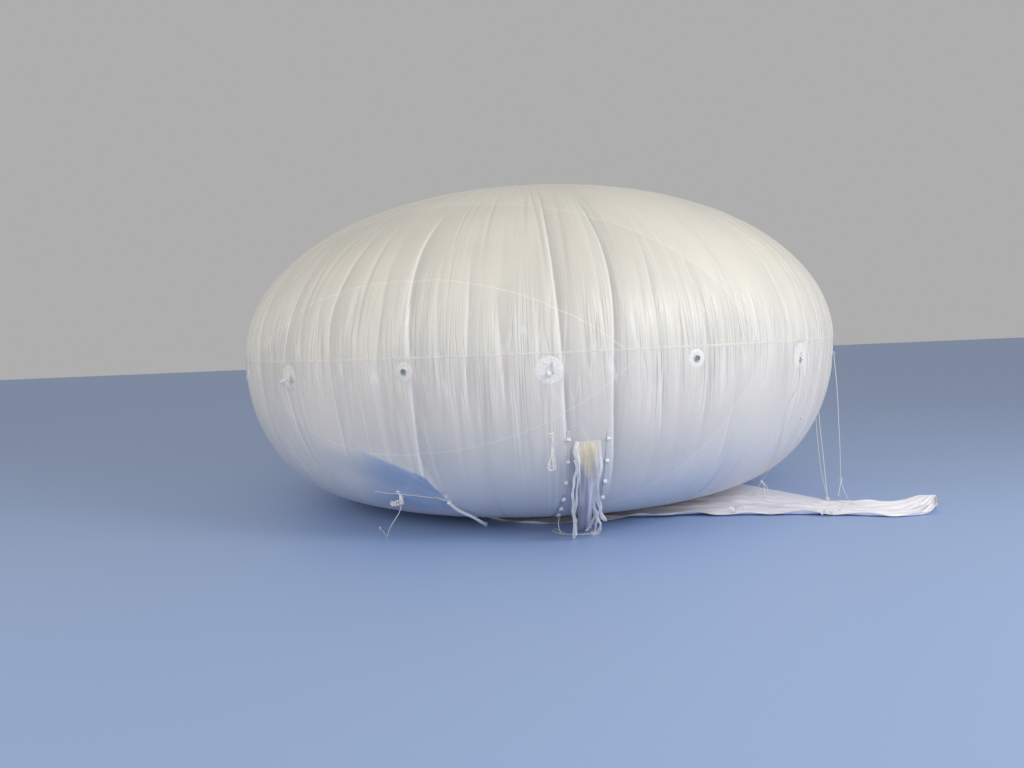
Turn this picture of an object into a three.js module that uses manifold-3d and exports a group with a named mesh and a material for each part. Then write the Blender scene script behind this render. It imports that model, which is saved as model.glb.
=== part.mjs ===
import * as THREE from 'three';
import { mergeVertices } from 'three/addons/utils/BufferGeometryUtils.js';
import Module from 'manifold-3d';

// A tethered advertising balloon: a round, flattened envelope of two flat discs of fabric strips,
// welded rim to rim, with tether points, valves, a filling sleeve and a wind sail spread below it.
// Millimetres, +Z up. The origin is the middle of the envelope on its equator plane.
// An azimuth is 0 at the front (-Y) and grows towards the right (+X).

// Envelope, each half of it the curve (r / equatorRadius) ^ fullness + (z / height) ^ 2 = 1
const equatorRadius = 3198;
const halves = {
  upper: { sign: 1, height: 1755, fullness: 2.234 },
  lower: { sign: -1, height: 1602, fullness: 5.392 },
};
const skin = 10;
const stripWidth = 1115;
const stripAzimuth = -22.5;
const stripsPerSide = 4;
const cellsAcross = 4;
const cellsAlong = 20;

// What touches keeps this gap
const gap = 0.3;

// How far a shape that is trimmed to the skin first reaches into it
const buried = 60;

// Seam band around the equator
const seamBand = { height: 40, thickness: 3, steps: 72 };

// Fittings in a row below the equator: distance from the equator along the skin, and azimuths
const fittingDrop = 133;
const tetherAzimuths = [0, 45, 67.5, 90, 135, 180, -135, -90, -67.5, -45];
const valvePlaces = [
  { azimuth: 21.8, drop: 95 }, { azimuth: 112.5, drop: fittingDrop },
  { azimuth: 157.5, drop: fittingDrop }, { azimuth: -157.5, drop: fittingDrop },
  { azimuth: -112.5, drop: fittingDrop }, { azimuth: -21, drop: 107 },
];
const tetherPatch = { radius: 110, thickness: 3 };
const webbing = { width: 30, thickness: 3, foot: 55, eye: 16, eyeDrop: 30, holeStart: 6 };
const valve = { patchRadius: 75, thickness: 3, flangeRadius: 36, flangeHeight: 8, capRadius: 25,
  capHeight: 16 };

// The sail's strap starts at a tab on the underside, at this distance from the equator and azimuth,
// and a tie hangs from another one
const undersideTabs = [
  { name: 'sail_strap_tab', drop: 1345, azimuth: -18.6 },
  { name: 'underside_tie_tab', drop: 1310, azimuth: -28.2 },
];

// Lacing tapes beside the filling sleeve: x at the top and bottom and how it bends between, the two
// heights, and the tabs' shares of the way down
const lacing = { width: 30, thickness: 2, tabWidth: 34, tabHeight: 24, tabStand: 16, steps: 8,
  startShare: -0.04, endShare: 1.02 };
const lacingTapes = [
  { name: 'lacing_tape_left', topX: 137, bottomX: 70, bend: 2 },
  { name: 'lacing_tape_right', topX: 456, bottomX: 418, bend: 1 },
];
const lacingTabShares = [0.05, 0.29, 0.53, 0.74, 0.88, 1];
const lacingTop = -655;
const lacingBottom = -1440;

// Filling sleeve: a cloth tube hanging from the belly to the ground, its middle line and its half widths
const sleeve = { halfWidth: 98, halfDepth: 52, thickness: 12, steps: 10, sides: 12, end: 0.99,
  hollowFrom: 0.5 };
const sleeveLine = [
  [280, -3060, -640], [281, -3108, -800], [283, -3010, -1000],
  [288, -2850, -1220], [300, -2590, -1430], [315, -2350, -1545],
];

// Ribbons at the sleeve's sides
const ribbon = { width: 22, thickness: 2 };
const ribbonLines = [
  { name: 'sleeve_ribbon_left', points: [
    [204, -3140, -705], [190, -3146, -900], [204, -3062, -1110], [196, -2935, -1300],
    [188, -2790, -1490], [186, -2640, -1603]] },
  { name: 'sleeve_ribbon_right', points: [
    [356, -3140, -705], [370, -3146, -900], [366, -3062, -1110], [382, -2925, -1300],
    [412, -2740, -1480], [424, -2500, -1603]] },
];

// Wind sail on the ground: its outline seen from above
const sailThickness = 8;
const sailTop = -1602.5;
const ground = sailTop - sailThickness;
const sailOutline = [
  [-640, -1620], [-380, -1840], [-90, -2020], [470, -2000], [1400, -1960], [2550, -2130],
  [3150, -2290], [3470, -2190], [3690, -1790], [3380, -1720], [2780, -1500], [2620, -1160],
  [2210, -440], [1450, 900], [-150, 300],
];

// The strap from the underside tab to the sail's corner
const strap = { width: 30, thickness: 3 };
const strapLine = [
  [-860, -2555, -1271], [-795, -2480, -1345], [-680, -2400, -1425], [-600, -2290, -1505],
  [-575, -2080, -1573], [-590, -1860, -1594],
];

// Ropes and lines, all of one size, and the knots on them
const rope = { radius: 3, sides: 8, knot: 13 };
const handRope = [
  [0, -3214, -183], [8, -3222, -260], [5, -3227, -450], [0, -3228, -622],
];
const hank = { top: -622, width: 26, spread: 58, height: 291, thickness: 26, lean: -12, neckShare: 0.58 };
const shortRope = [
  [2272, -2272, -183], [2278, -2280, -300], [2285, -2285, -450], [2283, -2284, -600],
  [2240, -2290, -700],
];
const stay45 = [
  [2262, -2288, -183], [2236, -2272, -393], [2142, -2308, -564], [2114, -2247, -746],
  [2122, -2069, -977], [2110, -1929, -1118], [2144, -1695, -1243], [2185, -1430, -1345],
  [2190, -1290, -1425],
];
const stay45Tail = [[2190, -1290, -1425], [2160, -1240, -1510], [2135, -1195, -1590]];
const line67 = [
  [2968, -1229, -183], [2985, -1250, -500], [2990, -1270, -900], [2990, -1290, -1250],
  [2988, -1300, -1440], [2977, -1400, -1530], [2957, -1540, -1590],
];
const line67Tail = [[2986, -1304, -1446], [2945, -1365, -1530], [2915, -1405, -1585]];
const stay90 = [
  [3216, -4, -183], [3187, -190, -350], [3127, -375, -527], [3055, -560, -700],
  [2990, -750, -880], [2880, -1130, -1235], [2775, -1485, -1580],
];
const stay90Slack = [
  [3216, 4, -183], [3212, -30, -500], [3185, -120, -850], [3110, -380, -1200],
  [2950, -900, -1470], [2784, -1482, -1582],
];
const sailClip = { at: [2774, -1490, -1586], size: [44, 30, 28] };
const tieKnot = 9;
const lacingCord = [
  [75, -2378, -1462], [62, -2440, -1500], [68, -2462, -1555], [90, -2450, -1596],
  [118, -2412, -1605], [100, -2300, -1606.5], [50, -2200, -1606.5], [15, -2250, -1606.5],
  [70, -2360, -1606.5], [143, -2411, -1606.5], [220, -2428, -1606.5], [298, -2430, -1606.5],
  [372, -2430, -1606.5],
];
const undersideTie = [
  [-1296, -2418, -1257], [-1310, -2432, -1330], [-1400, -2420, -1470], [-1450, -2330, -1575],
  [-1462, -2270, -1600], [-1480, -2200, -1606.5], [-1545, -2000, -1606.5], [-1590, -1900, -1606.5],
];

const wasm = await Module();
wasm.setup();
const part = new THREE.Group();

// Colours
const white = { color: 0xf1efe9, roughness: 0.45 };
const finishes = {
  upperSkin: { color: 0xe9e6dc, roughness: 0.42 },
  lowerSkin: { color: 0xdfe0e6, roughness: 0.42 },
  seamTape: { color: 0xefece4, roughness: 0.5 },
  patch: white,
  webbing: { color: 0xf6f6f4, roughness: 0.8 },
  valve: { color: 0x86a7b8, roughness: 0.35 },
  sleeve: { color: 0xd9d8e4, roughness: 0.5 },
  sail: { color: 0xe6e4ea, roughness: 0.55 },
  rope: { color: 0xf2f0ea, roughness: 0.85 },
};

function addPiece(name, geometry, finish) {
  const material = new THREE.MeshStandardMaterial({ metalness: 0, ...finish });
  const mesh = new THREE.Mesh(geometry, material);
  mesh.name = name;
  part.add(mesh);
  return mesh;
}

function toSolid(geometry) {
  const bare = geometry.clone();
  bare.deleteAttribute('normal');
  bare.deleteAttribute('uv');
  const merged = mergeVertices(bare, 1e-4);
  return new wasm.Manifold(new wasm.Mesh({
    numProp: 3,
    vertProperties: new Float32Array(merged.attributes.position.array),
    triVerts: new Uint32Array(merged.index.array),
  }));
}

function toGeometry(solid) {
  const mesh = solid.getMesh();
  const geometry = new THREE.BufferGeometry();
  geometry.setAttribute('position', new THREE.BufferAttribute(mesh.vertProperties, 3));
  geometry.setIndex(new THREE.BufferAttribute(mesh.triVerts, 1));
  geometry.computeVertexNormals();
  return geometry;
}

// The meridian of a half as a table: distance from the pole along the skin, radius, height, and
// the outward normal's two components
function meridian({ sign, height, fullness }) {
  const steps = 600;
  const rows = [];
  let along = 0;
  for (let i = 0; i <= steps; i += 1) {
    const share = Math.sin((i / steps) * Math.PI / 2);
    const r = equatorRadius * share;
    const z = sign * height * Math.sqrt(Math.max(0, 1 - share ** fullness));
    if (i > 0) {
      const last = rows[i - 1];
      along += Math.hypot(r - last.r, z - last.z);
    }
    const slopeR = (fullness / equatorRadius) * share ** (fullness - 1);
    const slopeZ = (2 * z) / height ** 2;
    const length = Math.hypot(slopeR, slopeZ) || 1;
    rows.push({ along, r, z, normalR: slopeR / length, normalZ: i ? slopeZ / length : sign });
  }
  return { rows, reach: along };
}

for (const half of Object.values(halves)) Object.assign(half, meridian(half));

function onMeridian(half, along) {
  const { rows } = half;
  let low = 0;
  let high = rows.length - 1;
  while (high - low > 1) {
    const middle = (low + high) >> 1;
    if (rows[middle].along > along) high = middle;
    else low = middle;
  }
  const [a, b] = [rows[low], rows[high]];
  const t = THREE.MathUtils.clamp((along - a.along) / (b.along - a.along), 0, 1);
  const mix = (key) => a[key] + t * (b[key] - a[key]);
  return { r: mix('r'), z: mix('z'), normalR: mix('normalR'), normalZ: mix('normalZ') };
}

// A point of a half's surface from polar places on its flat disc, pushed out along the normal
function onSkin(half, along, azimuth, out) {
  const { r, z, normalR, normalZ } = onMeridian(half, along);
  const radius = r + out * normalR;
  return new THREE.Vector3(radius * Math.sin(azimuth), -radius * Math.cos(azimuth), z + out * normalZ);
}

// One fabric strip of a half: a slab between two offsets from the surface, over the stretch of the
// flat disc between the strip's two straight seams, with `trim` left free along each edge
function stripGeometry(half, index, inner, outer, trim) {
  const reach = half.reach - trim;
  const seam = (k) => (Math.abs(k) === stripsPerSide ? Math.sign(k) * reach : k * stripWidth);
  const first = seam(index) + (index === -stripsPerSide ? 0 : trim);
  const last = seam(index + 1) - (index + 1 === stripsPerSide ? 0 : trim);
  const turnA = Math.acos(THREE.MathUtils.clamp(first / reach, -1, 1));
  const turnB = Math.acos(THREE.MathUtils.clamp(last / reach, -1, 1));
  const axis = THREE.MathUtils.degToRad(stripAzimuth);
  const points = [];
  for (const out of [outer, inner]) {
    for (let i = 0; i <= cellsAcross; i += 1) {
      const across = reach * Math.cos(turnA + (turnB - turnA) * (i / cellsAcross));
      const halfLength = Math.sqrt(Math.max(0, reach ** 2 - across ** 2));
      for (let j = 0; j <= cellsAlong; j += 1) {
        const run = halfLength * ((2 * j) / cellsAlong - 1);
        const along = Math.min(Math.hypot(across, run), reach);
        points.push(onSkin(half, along, axis + Math.atan2(run, across), out));
      }
    }
  }
  return gridSlab(points, cellsAcross, cellsAlong, half.sign < 0);
}

// A closed slab from an outer and an inner grid of points, without the faces that have no area
function gridSlab(points, rows, columns, flip) {
  const width = columns + 1;
  const layer = (rows + 1) * width;
  const faces = [];
  const quad = (a, b, c, d) => faces.push([a, b, c], [a, c, d]);
  for (let i = 0; i < rows; i += 1) {
    for (let j = 0; j < columns; j += 1) {
      const at = i * width + j;
      quad(at, at + width, at + width + 1, at + 1);
      const below = at + layer;
      quad(below, below + 1, below + width + 1, below + width);
    }
  }
  for (let j = 0; j < columns; j += 1) {
    const far = rows * width + j;
    quad(j, j + 1, j + 1 + layer, j + layer);
    quad(far, far + layer, far + 1 + layer, far + 1);
  }
  for (let i = 0; i < rows; i += 1) {
    const near = i * width;
    const end = near + columns;
    quad(near + width, near, near + layer, near + width + layer);
    quad(end, end + width, end + width + layer, end + layer);
  }
  const raw = new THREE.BufferGeometry().setFromPoints(points);
  raw.setIndex(faces.flatMap(([a, b, c]) => (flip ? [a, c, b] : [a, b, c])));
  const merged = mergeVertices(raw, 1e-3);
  const index = merged.index.array;
  const kept = [];
  for (let i = 0; i < index.length; i += 3) {
    const [a, b, c] = [index[i], index[i + 1], index[i + 2]];
    if (a !== b && b !== c && a !== c) kept.push(a, b, c);
  }
  merged.setIndex(kept);
  merged.computeVertexNormals();
  return merged;
}

const stripIndexes = Array.from({ length: 2 * stripsPerSide }, (_, i) => i - stripsPerSide);

function addStrips() {
  for (const [name, half] of Object.entries(halves)) {
    stripIndexes.forEach((index, i) => {
      const geometry = stripGeometry(half, index, -skin, 0, gap / 2);
      addPiece(`${name}_strip_${i + 1}`, geometry, finishes[`${name}Skin`]);
    });
  }
}

// The lower half's faceted skin between two offsets, in one piece, to fit what lies on it
function lowerLayer(inner, outer) {
  const strips = stripIndexes.map((index) => toSolid(stripGeometry(halves.lower, index, inner, outer, 0)));
  return wasm.Manifold.union(strips);
}

function addSeamBand() {
  const radius = (equatorRadius + gap) / Math.cos(Math.PI / seamBand.steps);
  const rise = seamBand.height / 2;
  const edge = radius + seamBand.thickness;
  const profile = [[radius, -rise], [edge, -rise + 2], [edge, rise - 2], [radius, rise], [radius, -rise]];
  const points = profile.map(([x, y]) => new THREE.Vector2(x, y));
  const geometry = new THREE.LatheGeometry(points, seamBand.steps);
  geometry.rotateX(Math.PI / 2);
  addPiece('equator_seam_band', geometry, finishes.seamTape);
}

// A frame on the lower skin at a fitting: its x runs level, its y down the skin, its z outwards
function fittingFrame(azimuthDegrees, drop = fittingDrop) {
  const azimuth = THREE.MathUtils.degToRad(azimuthDegrees);
  const half = halves.lower;
  const along = half.reach - drop;
  const middle = onSkin(half, along, azimuth, 0);
  const outward = onSkin(half, along, azimuth, 1).sub(middle).normalize();
  const level = new THREE.Vector3(-Math.cos(azimuth), -Math.sin(azimuth), 0);
  const down = new THREE.Vector3().crossVectors(outward, level);
  return new THREE.Matrix4().makeBasis(level, down, outward).setPosition(middle);
}

// A round bar along a fitting frame's z, between two heights
function bar(radius, low, high, sides, frame) {
  const geometry = new THREE.CylinderGeometry(radius, radius, high - low, sides);
  geometry.rotateX(Math.PI / 2);
  geometry.translate(0, 0, (low + high) / 2);
  geometry.applyMatrix4(frame);
  return toSolid(geometry);
}

// A webbing tab sewn flat to its patch, its lower end turned up into an eye for a rope
function webbingTab(frame) {
  const { width, thickness, foot, eye, eyeDrop, holeStart } = webbing;
  const profile = new THREE.Shape();
  profile.moveTo(-foot, -buried);
  profile.lineTo(eyeDrop, -buried);
  profile.absarc(eyeDrop, eye, eye, -Math.PI / 2, Math.PI / 2, false);
  profile.lineTo(0, thickness);
  profile.lineTo(-foot, thickness);
  const hole = new THREE.Path();
  hole.absarc(eyeDrop, eye, eye - thickness, -Math.PI / 2, Math.PI / 2, false);
  hole.lineTo(holeStart, thickness + 1);
  profile.holes.push(hole);
  const geometry = new THREE.ExtrudeGeometry(
    profile, { depth: width, bevelEnabled: false, curveSegments: 6 });
  geometry.translate(0, 0, -width / 2);
  const turn = new THREE.Matrix4().makeBasis(
    new THREE.Vector3(0, 1, 0), new THREE.Vector3(0, 0, 1), new THREE.Vector3(1, 0, 0));
  geometry.applyMatrix4(turn);
  geometry.applyMatrix4(new THREE.Matrix4().makeTranslation(0, 0, tetherPatch.thickness + 1));
  geometry.applyMatrix4(frame);
  return toSolid(geometry);
}

function fittingName(kind, azimuth) {
  const side = azimuth === 0 || azimuth === 180 ? '' : azimuth > 0 ? 'right_' : 'left_';
  return `${kind}_${side}${String(Math.abs(azimuth)).replace('.', '_')}`;
}

function addTethers() {
  const layer = lowerLayer(gap, gap + tetherPatch.thickness);
  const under = lowerLayer(-2 * buried, gap + tetherPatch.thickness + gap);
  for (const azimuth of tetherAzimuths) {
    const frame = fittingFrame(azimuth);
    const patch = bar(tetherPatch.radius, -buried, buried, 24, frame).intersect(layer);
    addPiece(fittingName('tether_patch', azimuth), toGeometry(patch), finishes.patch);
    const tab = webbingTab(frame).subtract(under);
    addPiece(fittingName('tether_tab', azimuth), toGeometry(tab), finishes.webbing);
  }
  const bare = lowerLayer(-2 * buried, gap);
  for (const { name, drop, azimuth } of undersideTabs) {
    addPiece(name, toGeometry(webbingTab(fittingFrame(azimuth, drop)).subtract(bare)), finishes.webbing);
  }
}

// A valve: its patch, a low flange and a round cap, in one body
function addValves() {
  const layer = lowerLayer(gap, gap + valve.thickness);
  const under = lowerLayer(-2 * buried, gap + 1);
  for (const { azimuth, drop } of valvePlaces) {
    const frame = fittingFrame(azimuth, drop);
    const patch = bar(valve.patchRadius, -buried, buried, 20, frame).intersect(layer);
    const flange = bar(valve.flangeRadius, -buried / 3, valve.flangeHeight, 16, frame).subtract(under);
    const cap = bar(valve.capRadius, 1, valve.capHeight, 16, frame);
    addPiece(fittingName('valve', azimuth), toGeometry(patch.add(flange).add(cap)), finishes.valve);
  }
}

function box(width, depth, height, x, y, z) {
  const geometry = new THREE.BoxGeometry(width, depth, height);
  geometry.translate(x, y, z);
  return toSolid(geometry);
}

// The front of the lower skin, seen straight on: its y at a place x, z
function bellyFront(x, z) {
  const { height, fullness } = halves.lower;
  const r = equatorRadius * (1 - (z / height) ** 2) ** (1 / fullness);
  return -Math.sqrt(r ** 2 - x ** 2);
}

// A tape down the belly with tabs standing off it, for the lacing that holds the sleeve
function addLacing() {
  const layer = lowerLayer(gap, gap + lacing.thickness);
  const under = lowerLayer(-2 * buried, gap + 1);
  for (const { name, topX, bottomX, bend } of lacingTapes) {
    const at = (share) => ({
      x: topX + share ** bend * (bottomX - topX),
      z: lacingTop + share * (lacingBottom - lacingTop),
    });
    const edge = (half) => Array.from({ length: lacing.steps + 1 }, (_, i) => {
      const share = lacing.startShare + (lacing.endShare - lacing.startShare) * (i / lacing.steps);
      return new THREE.Vector2(at(share).x + half, at(share).z);
    });
    const slab = new THREE.Shape([...edge(-lacing.width / 2), ...edge(lacing.width / 2).reverse()]);
    const cut = new THREE.ExtrudeGeometry(slab, { depth: equatorRadius, bevelEnabled: false });
    cut.rotateX(Math.PI / 2);
    cut.translate(0, -gap, 0);
    let tape = toSolid(cut).intersect(layer);
    for (const share of lacingTabShares) {
      const { x, z } = at(share);
      const y = bellyFront(x, z);
      const tab = box(lacing.tabWidth, buried, lacing.tabHeight, x, y + buried / 2 - lacing.tabStand, z);
      tape = tape.add(tab.subtract(under));
    }
    addPiece(name, toGeometry(tape), finishes.webbing);
  }
}

function curveThrough(points) {
  return new THREE.CatmullRomCurve3(points.map((p) => new THREE.Vector3(...p)));
}

// A tube with an even number of sides along a curve, closed at both ends
function tube(points, radius, sides, steps) {
  const section = new THREE.Shape();
  for (let i = 0; i < sides; i += 1) {
    const angle = (i / sides) * 2 * Math.PI;
    const [x, y] = [radius * Math.cos(angle), radius * Math.sin(angle)];
    if (i === 0) section.moveTo(x, y);
    else section.lineTo(x, y);
  }
  section.closePath();
  const extrudePath = curveThrough(points);
  return new THREE.ExtrudeGeometry(section, { steps, extrudePath, bevelEnabled: false });
}

// A closed skin through rings of points, with a fan at each end
function loft(rings) {
  const sides = rings[0].length;
  const points = rings.flat();
  const faces = [];
  for (let i = 0; i + 1 < rings.length; i += 1) {
    for (let j = 0; j < sides; j += 1) {
      const k = (j + 1) % sides;
      const [a, b, c, d] = [i * sides + j, i * sides + k, (i + 1) * sides + k, (i + 1) * sides + j];
      faces.push(a, b, c, a, c, d);
    }
  }
  const last = (rings.length - 1) * sides;
  for (let j = 1; j + 1 < sides; j += 1) faces.push(0, j + 1, j, last, last + j, last + j + 1);
  const geometry = new THREE.BufferGeometry().setFromPoints(points);
  geometry.setIndex(faces);
  geometry.computeVertexNormals();
  return geometry;
}

// The sleeve hangs as a flattened tube, open at its lower end, and is welded to the belly at its top
function addSleeve() {
  const curve = curveThrough(sleeveLine);
  const { steps, sides } = sleeve;
  const ringsAt = (inset, from, to) => {
    const rings = [];
    for (let i = 0; i <= steps; i += 1) {
      const share = from + (to - from) * (i / steps);
      const centre = curve.getPoint(share);
      const tangent = curve.getTangent(share);
      const outward = tangent.cross(new THREE.Vector3(1, 0, 0)).normalize();
      const ring = [];
      for (let j = 0; j < sides; j += 1) {
        const angle = (j / sides) * 2 * Math.PI;
        ring.push(centre.clone()
          .addScaledVector(new THREE.Vector3(1, 0, 0), (sleeve.halfWidth - inset) * Math.cos(angle))
          .addScaledVector(outward, (sleeve.halfDepth - inset) * Math.sin(angle)));
      }
      rings.push(ring);
    }
    return rings;
  };
  const outside = toSolid(loft(ringsAt(0, 0, sleeve.end)));
  const inside = toSolid(loft(ringsAt(sleeve.thickness, sleeve.hollowFrom, 1)));
  const skinCut = lowerLayer(-7 * buried, gap);
  addPiece('filling_sleeve', toGeometry(outside.subtract(inside).subtract(skinCut)), finishes.sleeve);
}

function addRibbons() {
  const section = new THREE.Shape([
    new THREE.Vector2(-ribbon.thickness / 2, -ribbon.width / 2),
    new THREE.Vector2(ribbon.thickness / 2, -ribbon.width / 2),
    new THREE.Vector2(ribbon.thickness / 2, ribbon.width / 2),
    new THREE.Vector2(-ribbon.thickness / 2, ribbon.width / 2)]);
  for (const { name, points } of ribbonLines) {
    const extrudePath = curveThrough(points);
    const geometry = new THREE.ExtrudeGeometry(section, { steps: 14, extrudePath, bevelEnabled: false });
    addPiece(name, geometry, finishes.webbing);
  }
}

function addSail() {
  const outline = new THREE.Shape(sailOutline.map(([x, y]) => new THREE.Vector2(x, y)));
  const geometry = new THREE.ExtrudeGeometry(outline, { depth: sailThickness, bevelEnabled: false });
  geometry.translate(0, 0, ground);
  addPiece('wind_sail', geometry, finishes.sail);
}

function knotAt([x, y, z], radius = rope.knot) {
  const geometry = new THREE.IcosahedronGeometry(radius, 1);
  geometry.translate(x, y, z);
  return toSolid(geometry);
}

function ropeSolid(points, steps) {
  return toSolid(tube(points, rope.radius, rope.sides, steps));
}

// The hand rope's hank: strands gathered under a knot, widening to the loops at the bottom
function hankGeometry() {
  const { top, width, spread, height, thickness, lean, neckShare } = hank;
  const [neck, end] = [width / 2, spread / 2];
  const outline = new THREE.Shape();
  outline.moveTo(-neck, 0);
  outline.lineTo(-neck, -height * neckShare);
  outline.lineTo(lean - end, -height + end);
  outline.absarc(lean, -height + end, end, Math.PI, 0, false);
  outline.lineTo(neck, -height * neckShare);
  outline.lineTo(neck, 0);
  outline.closePath();
  const geometry = new THREE.ExtrudeGeometry(
    outline, { depth: thickness, bevelEnabled: false, curveSegments: 12 });
  geometry.rotateX(Math.PI / 2);
  geometry.translate(0, handRope.at(-1)[1] + thickness / 2, top - gap);
  return geometry;
}

function addRopes() {
  const ropeMesh = (name, solid) => addPiece(name, toGeometry(solid), finishes.rope);
  ropeMesh('hand_rope', ropeSolid(handRope, 8));
  addPiece('hand_rope_hank', hankGeometry(), finishes.rope);
  ropeMesh('short_rope_right_45', ropeSolid(shortRope, 8));
  ropeMesh('sail_stay_right_45',
    ropeSolid(stay45, 22).add(knotAt(stay45.at(-1))).add(ropeSolid(stay45Tail, 3)));
  ropeMesh('sail_line_right_67_5',
    ropeSolid(line67, 14).add(knotAt(line67[4])).add(ropeSolid(line67Tail, 3)));
  const clip = box(...sailClip.size, ...sailClip.at);
  ropeMesh('sail_stays_right_90', ropeSolid(stay90, 16).add(ropeSolid(stay90Slack, 16)).add(clip));
  ropeMesh('lacing_cord', ropeSolid(lacingCord, 36));
  ropeMesh('underside_tie', ropeSolid(undersideTie, 16).add(knotAt(undersideTie[0], tieKnot)));
}

function addStrap() {
  const section = new THREE.Shape([
    new THREE.Vector2(-strap.thickness / 2, -strap.width / 2),
    new THREE.Vector2(strap.thickness / 2, -strap.width / 2),
    new THREE.Vector2(strap.thickness / 2, strap.width / 2),
    new THREE.Vector2(-strap.thickness / 2, strap.width / 2)]);
  const extrudePath = curveThrough(strapLine);
  const geometry = new THREE.ExtrudeGeometry(section, { steps: 16, extrudePath, bevelEnabled: false });
  addPiece('sail_strap', geometry, finishes.webbing);
}

addStrips();
addSeamBand();
addTethers();
addValves();
addLacing();
addSleeve();
addRibbons();
addSail();
addStrap();
addRopes();

export default part;
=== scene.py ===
# %% [markdown]
# A tethered advertising balloon, built as a lesson in cells. The solids of the balloon are already
# in metres in one frame; this script dresses them in cloth, webbing and rope. The object is a
# round, flattened envelope: two flat discs of parallel cloth strips are welded rim to rim and
# filled with gas, so each half is the curve (r / radius) ^ fullness + (z / height) ^ 2 = 1 and its
# rim is gathered into pleats. An azimuth is 0 at the front (-Y) and grows to the right (+X).

import bpy
import numpy as np
from mathutils import Matrix


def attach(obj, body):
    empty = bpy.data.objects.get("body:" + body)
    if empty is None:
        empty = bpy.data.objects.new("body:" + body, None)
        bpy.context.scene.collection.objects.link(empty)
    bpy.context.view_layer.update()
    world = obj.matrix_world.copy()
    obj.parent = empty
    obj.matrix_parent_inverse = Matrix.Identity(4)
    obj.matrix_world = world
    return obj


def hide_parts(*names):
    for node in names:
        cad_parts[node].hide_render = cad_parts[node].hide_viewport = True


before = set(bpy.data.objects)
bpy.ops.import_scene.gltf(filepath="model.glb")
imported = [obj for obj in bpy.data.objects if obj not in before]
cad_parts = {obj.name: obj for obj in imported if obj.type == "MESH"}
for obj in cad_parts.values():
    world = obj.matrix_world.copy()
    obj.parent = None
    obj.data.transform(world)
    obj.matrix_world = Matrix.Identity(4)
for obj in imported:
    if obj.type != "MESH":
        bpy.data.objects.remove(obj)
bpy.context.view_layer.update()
ground = -1.6105

# %% [markdown]
# In the photograph the balloon leans a little to the left and to the front. Here it stands upright
# and the camera leans instead, about 1.7 m above the floor and a little to the left. Its place
# comes from fitting the envelope's outline and seams. A camera looks along its own -Z, with +X to
# the right and +Y up.

# %% Camera
def stand(name, data, right, up, back, place):
    """An object at place whose own X, Y and Z point along right, up and back."""
    thing = bpy.data.objects.new(name, data)
    turn = np.eye(4)
    turn[:3] = np.column_stack([right, up, back, place])
    thing.matrix_world = Matrix(turn.tolist())
    bpy.context.scene.collection.objects.link(thing)
    return thing


camera = stand("camera", bpy.data.cameras.new("camera"), (0.99913, 0.0, -0.04169),
               (0.04162, 0.05627, 0.99755), (0.00235, -0.99842, 0.05622), (-0.275, -9.376, 0.121))
camera.data.sensor_width = 36.0
camera.data.lens = 28.32
bpy.context.scene.camera = camera

# %% [markdown]
# Every new piece here is a grid of points: rows along one parameter and columns along the other,
# worked out as one numpy array. One function turns such a grid into a mesh, and can join the last
# column to the first, as round a tube. A row may be one point many times over, as at a pole, and
# a weld then makes it one.

# %% Grids to meshes
def stacked(*parts):
    """Grids of numbers put together into one grid of pairs or points."""
    return np.stack(np.broadcast_arrays(*parts), -1)


def mm(points):
    """Points in millimetres, as an array in metres."""
    return np.array(points) / 1000


def circle(count):
    """Angles evenly once round."""
    return np.linspace(0, 2 * np.pi, count, endpoint=False)


def unit(vectors):
    """Vectors divided by their lengths."""
    return vectors / np.maximum(np.linalg.norm(vectors, axis=-1, keepdims=True), 1e-12)


def smooth(low, high, x):
    """0 below low, 1 above high, and the curve t * t * (3 - 2 t) between."""
    t = np.clip((x - low) / (high - low), 0, 1)
    return t * t * (3 - 2 * t)


def make_piece(name, points, material, around=False, flip=False, ends=False, uv=None):
    """A mesh from a grid of points; around joins its last column to its first, ends closes both
    ends of a tube, and uv has one grid of coordinate pairs for every named layer."""
    rows, columns = points.shape[:2]
    row = np.arange(rows - 1)[:, None]
    column = np.arange(columns if around else columns - 1)[None, :]
    after = (column + 1) % columns
    faces = stacked(row * columns + column, row * columns + after, (row + 1) * columns + after,
                    (row + 1) * columns + column).reshape(-1, 4)
    faces = (faces[:, ::-1] if flip else faces).tolist()
    if ends:
        first = np.arange(columns)
        faces += [first[::-1].tolist(), ((rows - 1) * columns + first).tolist()]
    mesh = bpy.data.meshes.new(name)
    mesh.from_pydata(points.reshape(-1, 3).tolist(), [], faces)
    mesh.shade_smooth()
    corner = np.empty(len(mesh.loops), np.int32)
    mesh.loops.foreach_get("vertex_index", corner)
    for layer_name, values in (uv or {}).items():
        layer = mesh.uv_layers.new(name=layer_name)
        layer.data.foreach_set("uv", values.reshape(-1, 2)[corner].astype(np.float32).ravel())
    mesh.materials.append(material)
    piece = bpy.data.objects.new(name, mesh)
    bpy.context.scene.collection.objects.link(piece)
    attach(piece, "root")
    return piece


def weld(piece):
    """Merge the points of a piece that lie in one place."""
    piece.modifiers.new("weld", "WELD").merge_threshold = 1e-5
    return piece


def thicken(piece, thickness=0.0014, offset=0.0):
    """Give a thin sheet its two sides and its edge."""
    modifier = piece.modifiers.new("thickness", "SOLIDIFY")
    modifier.thickness = thickness
    modifier.offset = offset
    return piece


# %% [markdown]
# Materials are written as sums. A Wire holds one socket of a material, and adding, multiplying or
# dividing Wires makes the Math nodes. Any other node comes from the node method, which takes the
# kind of node, the values or Wires for its sockets, and its settings, which are set first.

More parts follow.
